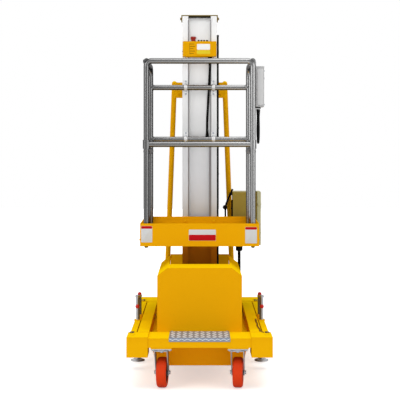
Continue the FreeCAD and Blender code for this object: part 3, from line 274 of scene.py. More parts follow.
def polished_tube(name):
    """Polished steel tube with painted reflection bands that follow the normal, and painted shade
    that makes it darker towards the left.
    """
    made, tree, shader = material(name)
    # Painted reflection: light and dark bands set by the direction of the normal
    across = math_node(tree, "MULTIPLY", part_of(tree, "Normal", "X"), 0.5)
    upright = math_node(tree, "MULTIPLY", part_of(tree, "Normal", "Z"), 0.5)
    reflection_band_place = math_node(tree, "ADD", math_node(tree, "SUBTRACT", across, upright), 0.5)
    cloud = math_node(tree, "MULTIPLY", math_node(tree, "SUBTRACT", noise(tree, 9), 0.5), 0.05)
    tone = ramp(tree, math_node(tree, "ADD", reflection_band_place, cloud),
                ((0.02, 0.15), (0.16, 0.39), (0.30, 0.34), (0.40, 0.17), (0.54, 0.19),
                 (0.70, 0.50), (0.80, 0.32), (0.90, 0.18), (0.98, 0.11)))
    # Painted shade: darker towards the left
    left_shade_place = math_node(tree, "ADD", part_of(tree, "Object", "X"), 0.5)
    tone = times(tree, tone, ramp(tree, left_shade_place, ((0.2, 0.53), (0.5, 0.67), (0.8, 1.0))))
    scratch = noise(tree, 300)
    tone = times(tree, tone, ramp(tree, scratch, ((0.3, 0.97), (0.7, 1.0))))
    tree.links.new(tone, shader.inputs["Base Color"])
    set_roughness(tree, shader, noise(tree, 30), 0.24, 0.32)
    shader.inputs["Metallic"].default_value = 1.0
    shader.inputs["Specular Tint"].default_value = (0.3, 0.3, 0.31, 1)
    bumped(tree, shader, scratch, 0.00002, 0.02)
    return made


def plastic(name, colour, rough=0.45, bump=0.25, mottle=0.1, scale=500, shine=0.5):
    """Moulded plastic, rubber or print, with a fine grain."""
    made, tree, shader = material(name)
    body = mix(tree, noise(tree, 18), scaled(colour, 1 - mottle), scaled(colour, 1 + mottle))
    tree.links.new(body, shader.inputs["Base Color"])
    set_roughness(tree, shader, noise(tree, 40), rough - 0.06, rough + 0.08)
    shader.inputs["Specular IOR Level"].default_value = shine
    bumped(tree, shader, noise(tree, scale, detail=3), 0.0003, bump, 0.0006)
    return made


# Stops of the paint's painted light: height in metres, or how far a face looks up, and amount
LOW_BOUNCE_STOPS = ((0.148, 1.0), (0.166, 0.0))
DECK_BOUNCE_STOPS = ((0.160, 0.0), (0.168, 1.0), (0.225, 1.0), (0.300, 0.0))
TOP_HIGHLIGHT_STOPS = ((0.30, 0.0), (0.72, 1.0))
YELLOW = (0.735, 0.350, 0.0005)
# Painted light: the sunlit tone is a painted highlight on faces that look up; the low and deck
# tones are painted bounce light, lighter and oranger than the yellow
SUNLIT_YELLOW = (0.90, 0.58, 0.002)
LOW_BOUNCE_YELLOW = (0.98, 0.410, 0.0005)
DECK_BOUNCE_YELLOW = (0.80, 0.402, 0.0005)
FOOT_SHADE_BROWN = (0.61, 0.19, 0.001)
TONE_HEIGHT = 2.0
# Columns: height as a share of TONE_HEIGHT, tone. The tones are painted shade and light: the mast
# is darker and cooler low down, and lighter towards the top
MAST_SHADE_TONES = ((0.30, (0.58, 0.61, 0.66)), (0.495, (0.62, 0.63, 0.655)), (0.675, 0.72),
              (0.80, 0.88), (0.95, 0.88))
# The front section's lower end, under the platform, is dark orange-brown: painted shade and
# painted reflection of the yellow parts
FRONT_SHADE_TONES = ((0.0, FOOT_SHADE_BROWN), (0.336, FOOT_SHADE_BROWN), (0.3365, (0.585, 0.61, 0.655)),
               *MAST_SHADE_TONES[1:])
MATERIALS = {
    "yellow_paint": paint("yellow_paint", YELLOW, top=SUNLIT_YELLOW, low=LOW_BOUNCE_YELLOW,
                          deck=DECK_BOUNCE_YELLOW, shine=0.03),
    # The tray is painted all over in the lighter, oranger low tone: painted bounce light
    "tray_bounce_yellow": paint("tray_bounce_yellow", LOW_BOUNCE_YELLOW, shine=0.03),
    "mast_aluminium": metal("mast_aluminium", (0.98, 0.98, 0.98), 0.42, metallic=0.85,
                            painted_light_tones=MAST_SHADE_TONES),
    "mast_front": metal("mast_front", (0.98, 0.98, 0.98), 0.42, metallic=0.85, painted_light_tones=FRONT_SHADE_TONES),
    "clamp_aluminium": metal("clamp_aluminium", (0.76, 0.76, 0.76), 0.42, metallic=0.8),
    "strip_grey": plastic("strip_grey", (0.19, 0.18, 0.19), 0.5, 0.1, 0.05),
    "checker_aluminium": metal("checker_aluminium", (0.25, 0.29, 0.37), 0.45, (60, 60, 60), 0.3,
                               metallic=0.4),
    "tread_bright": metal("tread_bright", (0.86, 0.90, 0.98), 0.35, (60, 60, 60), 0.2,
                          metallic=0.35),
    "rail_steel": polished_tube("rail_steel"),
    "zinc_steel": metal("zinc_steel", (0.46, 0.48, 0.52), 0.34, (150, 150, 150), 0.2, rim=0.5),
    "dark_zinc": metal("dark_zinc", (0.24, 0.17, 0.10), 0.4, (150, 150, 150), 0.2, rim=0.3),
    "chain_zinc": metal("chain_zinc", (0.34, 0.19, 0.04), 0.4, (150, 150, 150), 0.2, rim=0.3),
    "screw_zinc": screw_metal("screw_zinc"),
    "wheel_red": plastic("wheel_red", (0.65, 0.042, 0.005), 0.45, 0.3, 0.06, 300, shine=0.1),
    "hub_dark": plastic("hub_dark", (0.035, 0.035, 0.035), 0.5, shine=0.3),
    # The box's lighter tone on faces that look up is a painted highlight
    "box_olive": paint("box_olive", (0.335, 0.250, 0.046), 0.45, top=(0.50, 0.44, 0.24)),
    "lid_olive": paint("lid_olive", (0.50, 0.49, 0.29), 0.45),
    # The cap is yellow paint: this dark tone is painted shade, and its lighter tone on faces that
    # look up a painted highlight
    "cap_shaded_yellow": paint("cap_shaded_yellow", (0.17, 0.115, 0.006), 0.5, top=(0.55, 0.36, 0.004)),
    "junction_grey": paint("junction_grey", (0.48, 0.48, 0.48), 0.42, shine=0.3),
    "panel_grey": paint("panel_grey", (0.58, 0.58, 0.58), 0.42, shine=0.3),
    "black_rubber": plastic("black_rubber", (0.006, 0.006, 0.006), 0.7, 0.4, shine=0.04),
    "black_plastic": plastic("black_plastic", (0.006, 0.006, 0.006), 0.5, shine=0.06),
    "stop_red": plastic("stop_red", (0.26, 0.004, 0.007), 0.3, 0.1, 0.06, 500, shine=0.35),
    "red_plastic": plastic("red_plastic", (0.50, 0.008, 0.006), 0.25, 0.1, 0.06, 500, shine=0.35),
    "power_black": plastic("power_black", (0.03, 0.03, 0.032), 0.5),
    "label_bright": plastic("label_bright", (0.84, 0.84, 0.82), 0.4, 0.1, 0.02, shine=0.2),
    "label_white": plastic("label_white", (0.56, 0.57, 0.58), 0.4, 0.1, 0.02, shine=0.2),
    "label_red": plastic("label_red", (0.44, 0.004, 0.008), 0.4, 0.1, 0.04, shine=0.05),
    "label_lime": plastic("label_lime", (0.72, 0.55, 0.02), 0.4, 0.1, 0.04, shine=0.1),
}

# Nodes whose look differs from their slot
LOOKS = {"electrical_box_lid": "lid_olive", "mast_front_section": "mast_front",
         "mast_cap": "cap_shaded_yellow", "underbody_tray": "tray_bounce_yellow", "lock_pins": "dark_zinc",
         "rail_clamps": "clamp_aluminium", "emergency_stop": "stop_red"}
LOOKS.update({f"jack_{end}_{word}": "screw_zinc" for end in ("front", "rear")
              for word in ("left", "right")})
for subpart in frame["record"]["subparts"]:
    thing = NODES[subpart["node"]]
    thing.data.materials.clear()
    thing.data.materials.append(MATERIALS[LOOKS.get(subpart["node"], subpart["material_slot"])])


# Cables

def cable(name, node, points, diameter):
    """Limp cable through the points of the solid that it replaces."""
    curve = bpy.data.curves.new(name, "CURVE")
    curve.dimensions = "3D"
    curve.bevel_depth = diameter / 2
    curve.bevel_resolution = 4
    curve.resolution_u = 8
    curve.use_fill_caps = True
    spline = curve.splines.new("NURBS")
    spline.points.add(len(points) - 1)
    for item, point in zip(spline.points, points):
        item.co = (*point, 1)
    spline.order_u = 3
    spline.use_endpoint_u = True
    curve.materials.append(MATERIALS["black_rubber"])
    made = add_object(name, curve)
    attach(made, "basket")
    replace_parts(made, node)


cable("control_lead", "control_cable", [
    (0.06, 0.255, 1.696), (0.05968, 0.25547, 1.65204), (0.05808, 0.26184, 1.6072),
    (0.05552, 0.2784, 1.5628), (0.05296, 0.29402, 1.51796), (0.05072, 0.30473, 1.47311),
    (0.04848, 0.30958, 1.42916), (0.04592, 0.31157, 1.38298), (0.044, 0.31204, 1.33814),
    (0.04336, 0.31303, 1.29285), (0.044, 0.3135, 1.252)],
    CABLE_DIAMETER)
cable("junction_lead", "junction_cable", [
    (0.3125, -0.186, 1.392), (0.3121, -0.18654, 1.35398), (0.3109, -0.18753, 1.31597),
    (0.3101, -0.18699, 1.27901), (0.3117, -0.18546, 1.24205), (0.3149, -0.15909, 1.21565),
    (0.3181, -0.12201, 1.21565), (0.3213, -0.09564, 1.24205), (0.3221, -0.09501, 1.28006),
    (0.3217, -0.09501, 1.31702), (0.32082, -0.09546, 1.35504), (0.3205, -0.096, 1.392)],
    CABLE_DIAMETER)


# Stage, lamps and world

def pale_floor():
    """Floor that is lit for the camera alone, so that it meets the white background."""
    made, tree, shader = material("floor_pale")
    tone = ramp(tree, noise(tree, 3), ((0.3, 0.84), (0.7, 0.88)))
    tree.links.new(tone, shader.inputs["Base Color"])
    shader.inputs["Roughness"].default_value = 0.7
    path = add(tree, "ShaderNodeLightPath")
    far_off = add(tree, "ShaderNodeVectorMath", operation="LENGTH")
    tree.links.new(place_coordinates(tree, (1, 1, 1)), far_off.inputs[0])
    glow = ramp(tree, math_node(tree, "DIVIDE", far_off.outputs["Value"], 5.0),
                ((0.10, 0.50), (0.8, 0.66)))
    seen = math_node(tree, "MULTIPLY", path.outputs["Is Camera Ray"], glow)
    shader.inputs["Emission Color"].default_value = (1, 1, 1, 1)
    tree.links.new(seen, shader.inputs["Emission Strength"])
    mesh = bpy.data.meshes.new("floor")
    reach = 14
    mesh.from_pydata([(-reach, -reach, 0), (reach, -reach, 0), (reach, reach, 0),
                      (-reach, reach, 0)], [], [(0, 1, 2, 3)])
    mesh.materials.append(made)
    floor = add_object("floor", mesh)


def white_world():
    """Soft light all round, and white for camera, mirror and glass."""
    world = bpy.data.worlds.new("world")
    bpy.context.scene.world = world
    world.use_nodes = True
    tree = world.node_tree
    path = add(tree, "ShaderNodeLightPath")
    glossy = math_node(tree, "MULTIPLY", path.outputs["Is Glossy Ray"], 0.4)
    seen = math_node(tree, "MAXIMUM", path.outputs["Is Camera Ray"], glossy)
    seen = math_node(tree, "MAXIMUM", seen, path.outputs["Is Transmission Ray"])
    strength = math_node(tree, "ADD", math_node(tree, "MULTIPLY", seen, 0.45), 0.55)
    tree.links.new(strength, tree.nodes["Background"].inputs["Strength"])
    tree.nodes["Background"].inputs["Color"].default_value = (1, 1, 1, 1)


# Columns: name, place, aimed at, width, spread in degrees, power. The light from above has no
# distance, so the raised mast meets no lamp: it has no spread, and its width is in degrees.
LAMPS = (
    ("lamp_above", (0.15, -0.35, 4.6), (0, 0, 0.9), 50, None, 1.2),
    ("lamp_top", (0.0, -2.4, 3.4), (0, 0.3, 1.4), 1.2, 45, 1.0),
    ("lamp_left", (-3.6, -3.6, 2.8), (0, 0, 0.9), 2.4, 180, 60),
    ("lamp_right", (3.8, -3.0, 2.2), (0, 0, 0.9), 2.4, 180, 34),
    ("lamp_low", (0.0, -4.6, 0.9), (0, 0, 0.3), 2.0, 180, 14),
)


def lamps():
    for name, where, aim, width, spread, power in LAMPS:
        data = bpy.data.lights.new(name, "AREA" if spread else "SUN")
        if spread:
            data.shape = "SQUARE"
            data.size = width
            data.spread = math.radians(spread)
        else:
            data.angle = math.radians(width)
        data.energy = power
        lamp = add_object(name, data)
        lamp.location = where
        lamp.rotation_euler = (Vector(aim) - Vector(where)).to_track_quat("-Z", "Y").to_euler()


pale_floor()
white_world()
lamps()
bpy.context.scene.view_settings.view_transform = "Standard"


# Mesh building

class Shape:
    """One mesh made of several bevelled, turned and swept forms, in the row frame."""

    def __init__(self):
        self.bm = bmesh.new()

    def box(self, x, y, z, bevel=0.0):
        centre = Vector(((x[0] + x[1]) / 2, (y[0] + y[1]) / 2, (z[0] + z[1]) / 2))
        size = Vector((x[1] - x[0], y[1] - y[0], z[1] - z[0]))
        matrix = Matrix.Translation(centre) @ Matrix.Diagonal((*size, 1))
        made = bmesh.ops.create_cube(self.bm, size=1, matrix=matrix)["verts"]
        if bevel:
            edges = list(dict.fromkeys(e for v in made for e in v.link_edges))
            bmesh.ops.bevel(self.bm, geom=edges, offset=bevel, segments=2, affect="EDGES",
                            profile=0.5)
        return self

    def ring(self, centre, frame_x, frame_y, radius, count, phase=0.0):
        return [self.bm.verts.new(centre + frame_x * (radius * math.cos(a))
                                  + frame_y * (radius * math.sin(a)))
                for a in (phase + 2 * math.pi * k / count for k in range(count))]

    def bridge(self, a, b):
        for k in range(len(a)):
            self.bm.faces.new((a[k], a[(k + 1) % len(a)], b[(k + 1) % len(a)], b[k]))

    def skin(self, rings):
        """Walls between neighbouring rings, with both ends closed."""
        for a, b in zip(rings, rings[1:]):
            self.bridge(a, b)
        self.bm.faces.new(list(reversed(rings[0])))
        self.bm.faces.new(rings[-1])
        return self

    def lathe(self, profile, centre, axis=(0, 0, 1), count=32, phase=0.0):
        """Profile of (radius, distance along the axis) from one end to the other."""
        axis = Vector(axis).normalized()
        side = axis.orthogonal().normalized()
        if abs(axis.z) > 0.99:
            side = Vector((1, 0, 0))
        up = axis.cross(side)
        centre = Vector(centre)
        return self.skin([self.ring(centre + axis * h, side, up, max(r, 1e-5), count, phase)
                          for r, h in profile])

    def ball(self, radius, centre, axis, step, count):
        """Ball turned about the axis, with one ring each step degrees."""
        angles = [math.radians(k) for k in range(0, 181, step)]
        return self.lathe([(radius * math.sin(a), -radius * math.cos(a)) for a in angles], centre,
                          axis, count)

    def bolt(self, foot, axis, size):
        """Hexagon head with a chamfered top, on a washer of radius size that stands at foot."""
        axis = Vector(axis).normalized()
        base = Vector(foot)
        self.lathe(((size * 0.95, 0), (size, size * 0.05), (size, size * 0.16),
                    (size * 0.95, size * 0.2)), base, axis, 24)
        return self.lathe(((size * 0.74, 0), (size * 0.78, size * 0.06), (size * 0.78, size * 0.5),
                           (size * 0.66, size * 0.6)), base + axis * size * 0.2, axis, 6)

    def sweep(self, points, radius, count=12):
        """Round bar through the points, closed at both ends."""
        points = [Vector(p) for p in points]
        tangents = []
        for k in range(len(points)):
            before, after = points[max(k - 1, 0)], points[min(k + 1, len(points) - 1)]
            tangents.append((after - before).normalized())
        side = tangents[0].orthogonal().normalized()
        rings = []
        for point, tangent in zip(points, tangents):
            side = (side - tangent * side.dot(tangent)).normalized()
            rings.append(self.ring(point, side, tangent.cross(side), radius, count))
        return self.skin(rings)

    def torus(self, centre, axis, radius, wire, count, around):
        """Round wire bent into a ring."""
        axis = Vector(axis).normalized()
        side = axis.orthogonal().normalized()
        up = axis.cross(side)
        rings = []
        for k in range(count):
            a = 2 * math.pi * k / count
            out = side * math.cos(a) + up * math.sin(a)
            rings.append(self.ring(Vector(centre) + out * radius, out.normalized(), axis, wire,
                                   around))
        for k in range(count):
            self.bridge(rings[k], rings[(k + 1) % count])
        return self

    def slab(self, outline, y):
        """Plate between two places along Y, with its outline given as (x, z) points."""
        return self.skin([[self.bm.verts.new((px, place, pz)) for px, pz in outline]
                          for place in y])

    def turn(self, degrees, centre):
        """Turns everything built so far about an upright line through centre."""
        bmesh.ops.rotate(self.bm, cent=centre, verts=self.bm.verts,
                         matrix=Matrix.Rotation(math.radians(degrees), 3, "Z"))
        return self

    def done(self, name, body, slot, look=None):
        """Ends the mesh: a piece of this name that rides on the body."""
        bmesh.ops.recalc_face_normals(self.bm, faces=self.bm.faces)
        mesh = bpy.data.meshes.new(name)
        self.bm.to_mesh(mesh)
        self.bm.free()
        mesh.polygons.foreach_set("use_smooth", [True] * len(mesh.polygons))
        mesh.set_sharp_from_angle(angle=math.radians(35))
        mesh.materials.append(MATERIALS[look or slot])
        made = add_object(name, mesh)
        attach(made, body)
        return made


# Small parts shared by several pieces

AXES = {"+x": (1, 0, 0), "-x": (-1, 0, 0), "+y": (0, 1, 0), "-y": (0, -1, 0), "+z": (0, 0, 1),
        "-z": (0, 0, -1)}
SIDES = (("left", -1), ("right", 1))
BOTH = (-1, 1)
OUTWARD = {-1: "-x", 1: "+x"}


def bolts(name, body, slot, rows, look=None):
    """Hexagon bolts; columns of rows: x, y, z, way the head faces, washer radius."""
    shape = Shape()
    for x, y, z, way, size in rows:
        shape.bolt((x, y, z), AXES[way], size)
    shape.done(name, body, slot, look)


def lozenges(name, body, slot, x, y, z, pitch, size, look=None):
    """Raised tread bars that alternate in direction, standing on the plate at height z."""
    shape = Shape()
    long, wide, high = size
    columns = int((x[1] - x[0]) / pitch)
    rows = int((y[1] - y[0]) / pitch)
    for i in range(columns):
        for j in range(rows):
            centre = Vector((x[0] + (i + 0.5) * (x[1] - x[0]) / columns,
                             y[0] + (j + 0.5) * (y[1] - y[0]) / rows, z))
            angle = math.radians(45 if (i + j) % 2 else -45)
            along = Vector((math.cos(angle), math.sin(angle), 0))
            across = Vector((-along.y, along.x, 0))
            up = Vector((0, 0, high))
            new = shape.bm.verts.new
            ends = [new(centre - along * long / 2), new(centre + along * long / 2)]
            sides = [new(centre - across * wide / 2), new(centre + across * wide / 2)]
            ridge = [new(centre - along * long * 0.3 + up), new(centre + along * long * 0.3 + up)]
            for face in ((ends[0], sides[0], ridge[0]), (sides[0], ridge[1], ridge[0]),
                         (sides[0], ends[1], ridge[1]), (ends[1], sides[1], ridge[1]),
                         (sides[1], ridge[0], ridge[1]), (sides[1], ends[0], ridge[0]),
                         (ends[0], sides[1], ends[1], sides[0])):
                shape.bm.faces.new(face)
    shape.done(name, body, slot, look)


def plate(name, body, slot, look, x, y, z, thick):
    """Thin plate with rounded corners on a face that looks to the front."""
    shape = Shape()
    corner = 0.004
    outline = []
    for cx, cz, start in ((x[1] - corner, z[0] + corner, -90), (x[1] - corner, z[1] - corner, 0),
                          (x[0] + corner, z[1] - corner, 90), (x[0] + corner, z[0] + corner, 180)):
        for k in range(5):
            angle = math.radians(start + k * 22.5)
            outline.append((cx + corner * math.cos(angle), cz + corner * math.sin(angle)))
    rings = []
    middle_x, middle_z = (x[0] + x[1]) / 2, (z[0] + z[1]) / 2
    for depth, inset in ((0, 0), (thick * 0.7, 0), (thick, 0.0004)):
        rings.append([shape.bm.verts.new((px - math.copysign(inset, px - middle_x), y - depth,
                                          pz - math.copysign(inset, pz - middle_z)))
                      for px, pz in outline])
    shape.skin(rings)
    shape.done(name, body, slot, look)


def weld_rings(name, body, slot, rows):
    """Weld beads round tubes; columns of rows: x, y, z, axis, tube radius."""
    shape = Shape()
    for x, y, z, axis, radius in rows:
        shape.torus((x, y, z), AXES[axis], radius, 0.0022, 28, 6)
    shape.done(name, body, slot)


def ribbed(bottom, top, pitch, wave):
    """Profile of a corrugated hose; columns of wave: radius, share of the pitch."""
    count = int((top - bottom) / pitch + 1e-6)
    return [(radius, bottom + (k + share) * pitch) for k in range(count)
            for radius, share in wave] + [(wave[0][0], top)]


# Chassis

def step_plate_details():
    low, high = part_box("step_plate")
    lozenges("step_tread", "base", "checker_aluminium", (-0.147, 0.147),
             (low.y + 0.004, high.y - 0.004), high.z, 0.028, (0.034, 0.0105, 0.0018),
             "tread_bright")
    lip = Shape()
    middle = low.z + 0.0107
    for k in range(20):
        x = -0.1397 + k * 0.0147
        rise = 0.00375 if k % 2 else -0.00375
        lip.sweep([(x - 0.0085, low.y, middle - rise), (x, low.y, middle),
                   (x + 0.0085, low.y, middle + rise)], 0.0013, 6)
    lip.done("step_lip_tread", "base", "checker_aluminium", "tread_bright")
    bolts("step_screws", "base", "zinc_steel",
          [(side * 0.139, y, high.z, "+z", 0.0055) for side in BOTH
           for y in (low.y + 0.014, high.y - 0.012)])


def chassis_bolts():
    rows = []
    bracket_rows = []
    for side in BOTH:
        # Floor plate, then caster and rear wheel plates
        for y in (back(0.73), back(0.86)):
            rows.append((side * 0.254, y, 0.235, OUTWARD[-side], 0.007))
        for dx in (-0.040, 0.040):
            for dy in (-0.032, 0.032):
                rows.append((side * WHEEL_X + dx, KINGPIN_Y + dy, 0.198, "-z", 0.0075))
            for dy in (-0.030, 0.028):
                rows.append((side * WHEEL_X + dx * 1.07, REAR_AXLE_Y + dy, 0.204, "-z", 0.0075))
        # Foot bracket of the mast
        for y in (back(1.162), back(1.238)):
            for x in (0.128, 0.156):
                rows.append((side * x, y, 0.225, "+z", 0.0085))
        for z in (0.300, 0.400, 0.480):
            rows.append((side * 0.106, back(1.226), z, OUTWARD[side], 0.008))
        rows.append((side * 0.140, back(1.200), 0.26, "-y", 0.008))
        # Upper ends of the struts, hood flanges and lower ends of the struts
        for z in (1.512, 1.556):
            bracket_rows.append((side * 0.122, STRUT_Y - 0.015, z, "-y", 0.0085))
            bracket_rows.append((side * 0.122, STRUT_Y + 0.015, z, "+y", 0.0085))
        for y in (back(0.215), back(0.50), back(0.785)):
            rows.append((side * 0.215, y, 0.236, OUTWARD[side], 0.006))
        for dy in (-0.0235, 0.0235):
            rows.append((side * 0.203, STRUT_Y + dy, 0.223, "+z", 0.0055))
    # Bracket of the electrical box
    for x in (0.118, 0.215):
        rows.append((x, back(1.190), 0.708, "+y", 0.007))
    bolts("chassis_bolts", "base", "zinc_steel", rows)
    bolts("strut_bracket_bolts", "base", "yellow_paint", bracket_rows)


def chassis_trim():
    pins = Shape()
    for side in BOTH:
        for y in (back(0.075), back(1.26)):
            pins.lathe(((0.0125, 0), (0.0135, 0.0006), (0.0135, 0.0012), (0.011, 0.0020),
                        (0.004, 0.0022)), (side * PIVOT_X, y, 0.263), count=32)
            pins.bolt((side * PIVOT_X, y, 0.164), (0, 0, -1), 0.012)
    pins.done("pivot_pin_heads", "base", "yellow_paint")

    hook = Shape()
    x, y, floor = 0.236, back(0.205), 0.217
    hook.lathe(((0.006, 0), (0.006, 0.002), (0.0024, 0.003), (0.0024, 0.012)), (x, y, floor),
               count=16)
    hook.torus((x, y, floor + 0.019), (0, 1, 0.25), 0.008, 0.0019, 28, 8)
    hook.done("deck_eye", "base", "zinc_steel", "dark_zinc")

    lips = Shape()
    for side in BOTH:
        lips.slab([(side * x, z) for x, z in ((0.1690, 0.300), (0.1825, 0.300), (0.1742, 0.5448),
                                              (0.1690, 0.5448))],
                  (back(1.2003), back(1.2057)))
    lips.done("foot_wing_lips", "base", "yellow_paint")

    beads = Shape()
    for side in BOTH:
        for run in ((0.002, 0.06, 0.12, 0.184), (1.252, 1.30, 1.368)):
            beads.sweep([(side * 0.2545, back(y), 0.2575) for y in run], 0.0022, 8)
        for y in (back(0.145), back(1.19)):
            beads.sweep([(side * x, y, 0.2635) for x in (0.256, 0.284, 0.311)], 0.0022, 8)
    beads.done("chassis_weld_beads", "base", "yellow_paint")


# Safety chain on top of the right rail, from the arm's end to the lock pin; columns: x, distance
# behind the chassis front
CHAIN_ROUTE = ((0.3010, 0.500), (0.3000, 0.440), (0.3030, 0.380), (0.2990, 0.320),
               (0.3020, 0.260), (0.3060, 0.205), (0.3040, 0.165), (0.3120, 0.142),
               (0.3230, 0.128))
CHAIN_HEIGHT = 0.2645


def safety_chain():
    shape = Shape()
    points = [Vector((x, back(distance), CHAIN_HEIGHT)) for x, distance in CHAIN_ROUTE]
    upward = Vector((0, 0, 1))
    pitch, travelled, turn = 0.0076, 0.0, 0
    for a, b in zip(points, points[1:]):
        length = (b - a).length
        along = (b - a).normalized()
        while travelled < length:
            centre = a + along * travelled
            if turn % 2:
                axis = upward
            else:
                centre = centre + upward * 0.0016
                axis = along.cross(upward) + upward * 0.55
            shape.torus(centre, axis, 0.0042, 0.0008, 12, 5)
            travelled += pitch
            turn += 1
        travelled -= length
    first = points[0]
    shape.lathe(((0.006, 0), (0.0065, 0.001), (0.0065, 0.002), (0.003, 0.0045), (0.0028, 0.008)),
                (first.x, first.y + 0.006, 0.263), count=18)
    shape.done("safety_chain", "base", "zinc_steel", "chain_zinc")


# Outriggers

def outrigger_details():
    # Columns: end, jack's y, whether its crank is folded, top of the jack
    for end, jack_y, folded, top in (("front", back(0.518), True, 0.384),
                                     ("rear", back(0.690), False, 0.362)):
        for word, side in SIDES:
            x = side * PIVOT_X
            weld_rings(f"sleeve_bead_{end}_{word}", f"arm_{end}_{word}", "yellow_paint",
                       [(x, jack_y, z, "+z", 0.0185) for z in (0.2620, 0.1830)])
            foot = Shape()
            base = Vector((x, jack_y, 0))
            for k in range(8):
                angle = 2 * math.pi * k / 8
                out = Vector((math.cos(angle), math.sin(angle), 0))
                foot.sweep([base + out * r + Vector((0, 0, z)) for r, z in (
                    (0.0165, 0.058), (0.0250, 0.0525), (0.0330, 0.0500))], 0.0016, 6)
            foot.done(f"jack_foot_ribs_{end}_{word}", f"jack_{end}_{word}", "zinc_steel")
            crank(f"crank_{end}_{word}", f"jack_{end}_{word}", x, jack_y, top, folded)


def crank(node, body, x, y, top, folded):
    """Steel crank arm with a red ball knob; both looks are on one piece."""
    shape = Shape()
    shape.lathe(((0.0118, 0), (0.013, 0.0012), (0.013, 0.0088), (0.0118, 0.0115), (0.006, 0.012)),
                (x, y, top), count=28)
    height = top + 0.006
    if folded:
        reach, corner = 0.029, 0.006
        bend = [(x, y, height), (x, y - 0.016, height)]
        bend += [(x, y - reach + corner * (1 - math.sin(a)), height - corner * (1 - math.cos(a)))
                 for a in (math.radians(k) for k in (0, 22, 45, 68, 90))]
        bend += [(x, y - reach, height - 0.025), (x, y - reach, height - 0.046)]
        shape.sweep(bend, 0.004, 14)
        shape.lathe(((0.005, 0), (0.0056, 0.001), (0.0056, 0.004), (0.0045, 0.005)),
                    (x, y - 0.012, height), (0, -1, 0), 16)
        knob, axis = (x, y - reach - 0.0055, height - 0.050), (0, -1, 0)
    else:
        knob, axis = (x, y, height + 0.0095), (0, 0, 1)
    first_red = len(shape.bm.faces)
    shape.ball(0.011, knob, axis, 12, 28)
    made = shape.done(node + "_detail", body, "red_plastic", "zinc_steel")
    made.data.materials.append(MATERIALS["red_plastic"])
    for polygon in made.data.polygons:
        if polygon.index >= first_red:
            polygon.material_index = 1
    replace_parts(made, node)


# Wheels

def wheel_details():
    # Columns: wheel, axle y before the caster is turned, kingpin y, turn in degrees
    for wheel, y, pin_y, degrees in (("caster", CASTER_AXLE_Y, KINGPIN_Y, -5),
                                     ("rear", REAR_AXLE_Y, REAR_AXLE_Y, 0)):
        for word, side in SIDES:
            x = side * WHEEL_X
            ribs = Shape()
            for way in BOTH:
                centre = Vector((x + way * 0.0125, y, WHEEL_RADIUS))
                for k in range(6):
                    angle = 2 * math.pi * k / 6 + 0.3
                    out = Vector((0, math.cos(angle), math.sin(angle)))
                    ribs.sweep([centre + out * r for r in (0.013, 0.028, 0.0455)], 0.0036, 8)
                ribs.torus((x + way * 0.0215, y, WHEEL_RADIUS), (1, 0, 0), 0.0495, 0.0018, 48, 6)
                ribs.lathe(((0.0105, 0), (0.0125, 0.001), (0.0125, 0.003), (0.0085, 0.0045),
                            (0.0070, 0.0045)), (x + way * 0.0245, y, WHEEL_RADIUS), (way, 0, 0),
                           24)
            ribs.turn(degrees, (x, pin_y, 0))
            ribs.done(f"{wheel}_{word}_hub_ribs", f"{wheel}_{word}_wheel", "hub_dark")
            line = Shape()
            for dx in (-0.0105, 0.0105):
                line.torus((x + dx, y, WHEEL_RADIUS), (1, 0, 0), 0.07455, 0.0006, 96, 6)
            line.turn(degrees, (x, pin_y, 0))
            line.done(f"{wheel}_{word}_tyre_lines", f"{wheel}_{word}_wheel", "wheel_red")
    for word, side in SIDES:
        race = Shape()
        race.torus((side * WHEEL_X, KINGPIN_Y, 0.1952), (0, 0, 1), 0.0312, 0.0018, 40, 8)
        race.bolt((side * WHEEL_X, KINGPIN_Y, 0.1887), (0, 0, -1), 0.012)
        race.done(f"caster_{word}_race", f"caster_{word}", "zinc_steel")


# Mast

def front_section_details():
    low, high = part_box("mast_cap")
    bolts("cap_bolts", "basket", "zinc_steel",
          [(side * high.x, 0.308, high.z - 0.020, OUTWARD[side], 0.0095) for side in BOTH],
          "dark_zinc")
    # Black plate in the channel just under the cap: painted shade of the recess there
    shade_plate = Shape()
    shade_plate.box((-0.0645, 0.0645), (low.y + 0.0015, low.y + 0.0375), (1.9450, 1.9521), 0.0006)
    shade_plate.done("channel_shade_plate", "basket", "black_plastic")
    # Thin dark grey strips down the front face of the front section
    strips = Shape()
    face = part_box("mast_front_section")[0].y
    # Columns: x limits, z limits
    for x, z in (((-0.0675, -0.0620), (0.676, 1.930)), ((0.0560, 0.0680), (0.676, 1.225)),
                 ((0.0625, 0.0680), (1.225, 1.930))):
        strips.box(x, (face - 0.0014, face + 0.0002), z, 0.0003)
    strips.done("dark_front_strips", "basket", "mast_aluminium", "strip_grey")


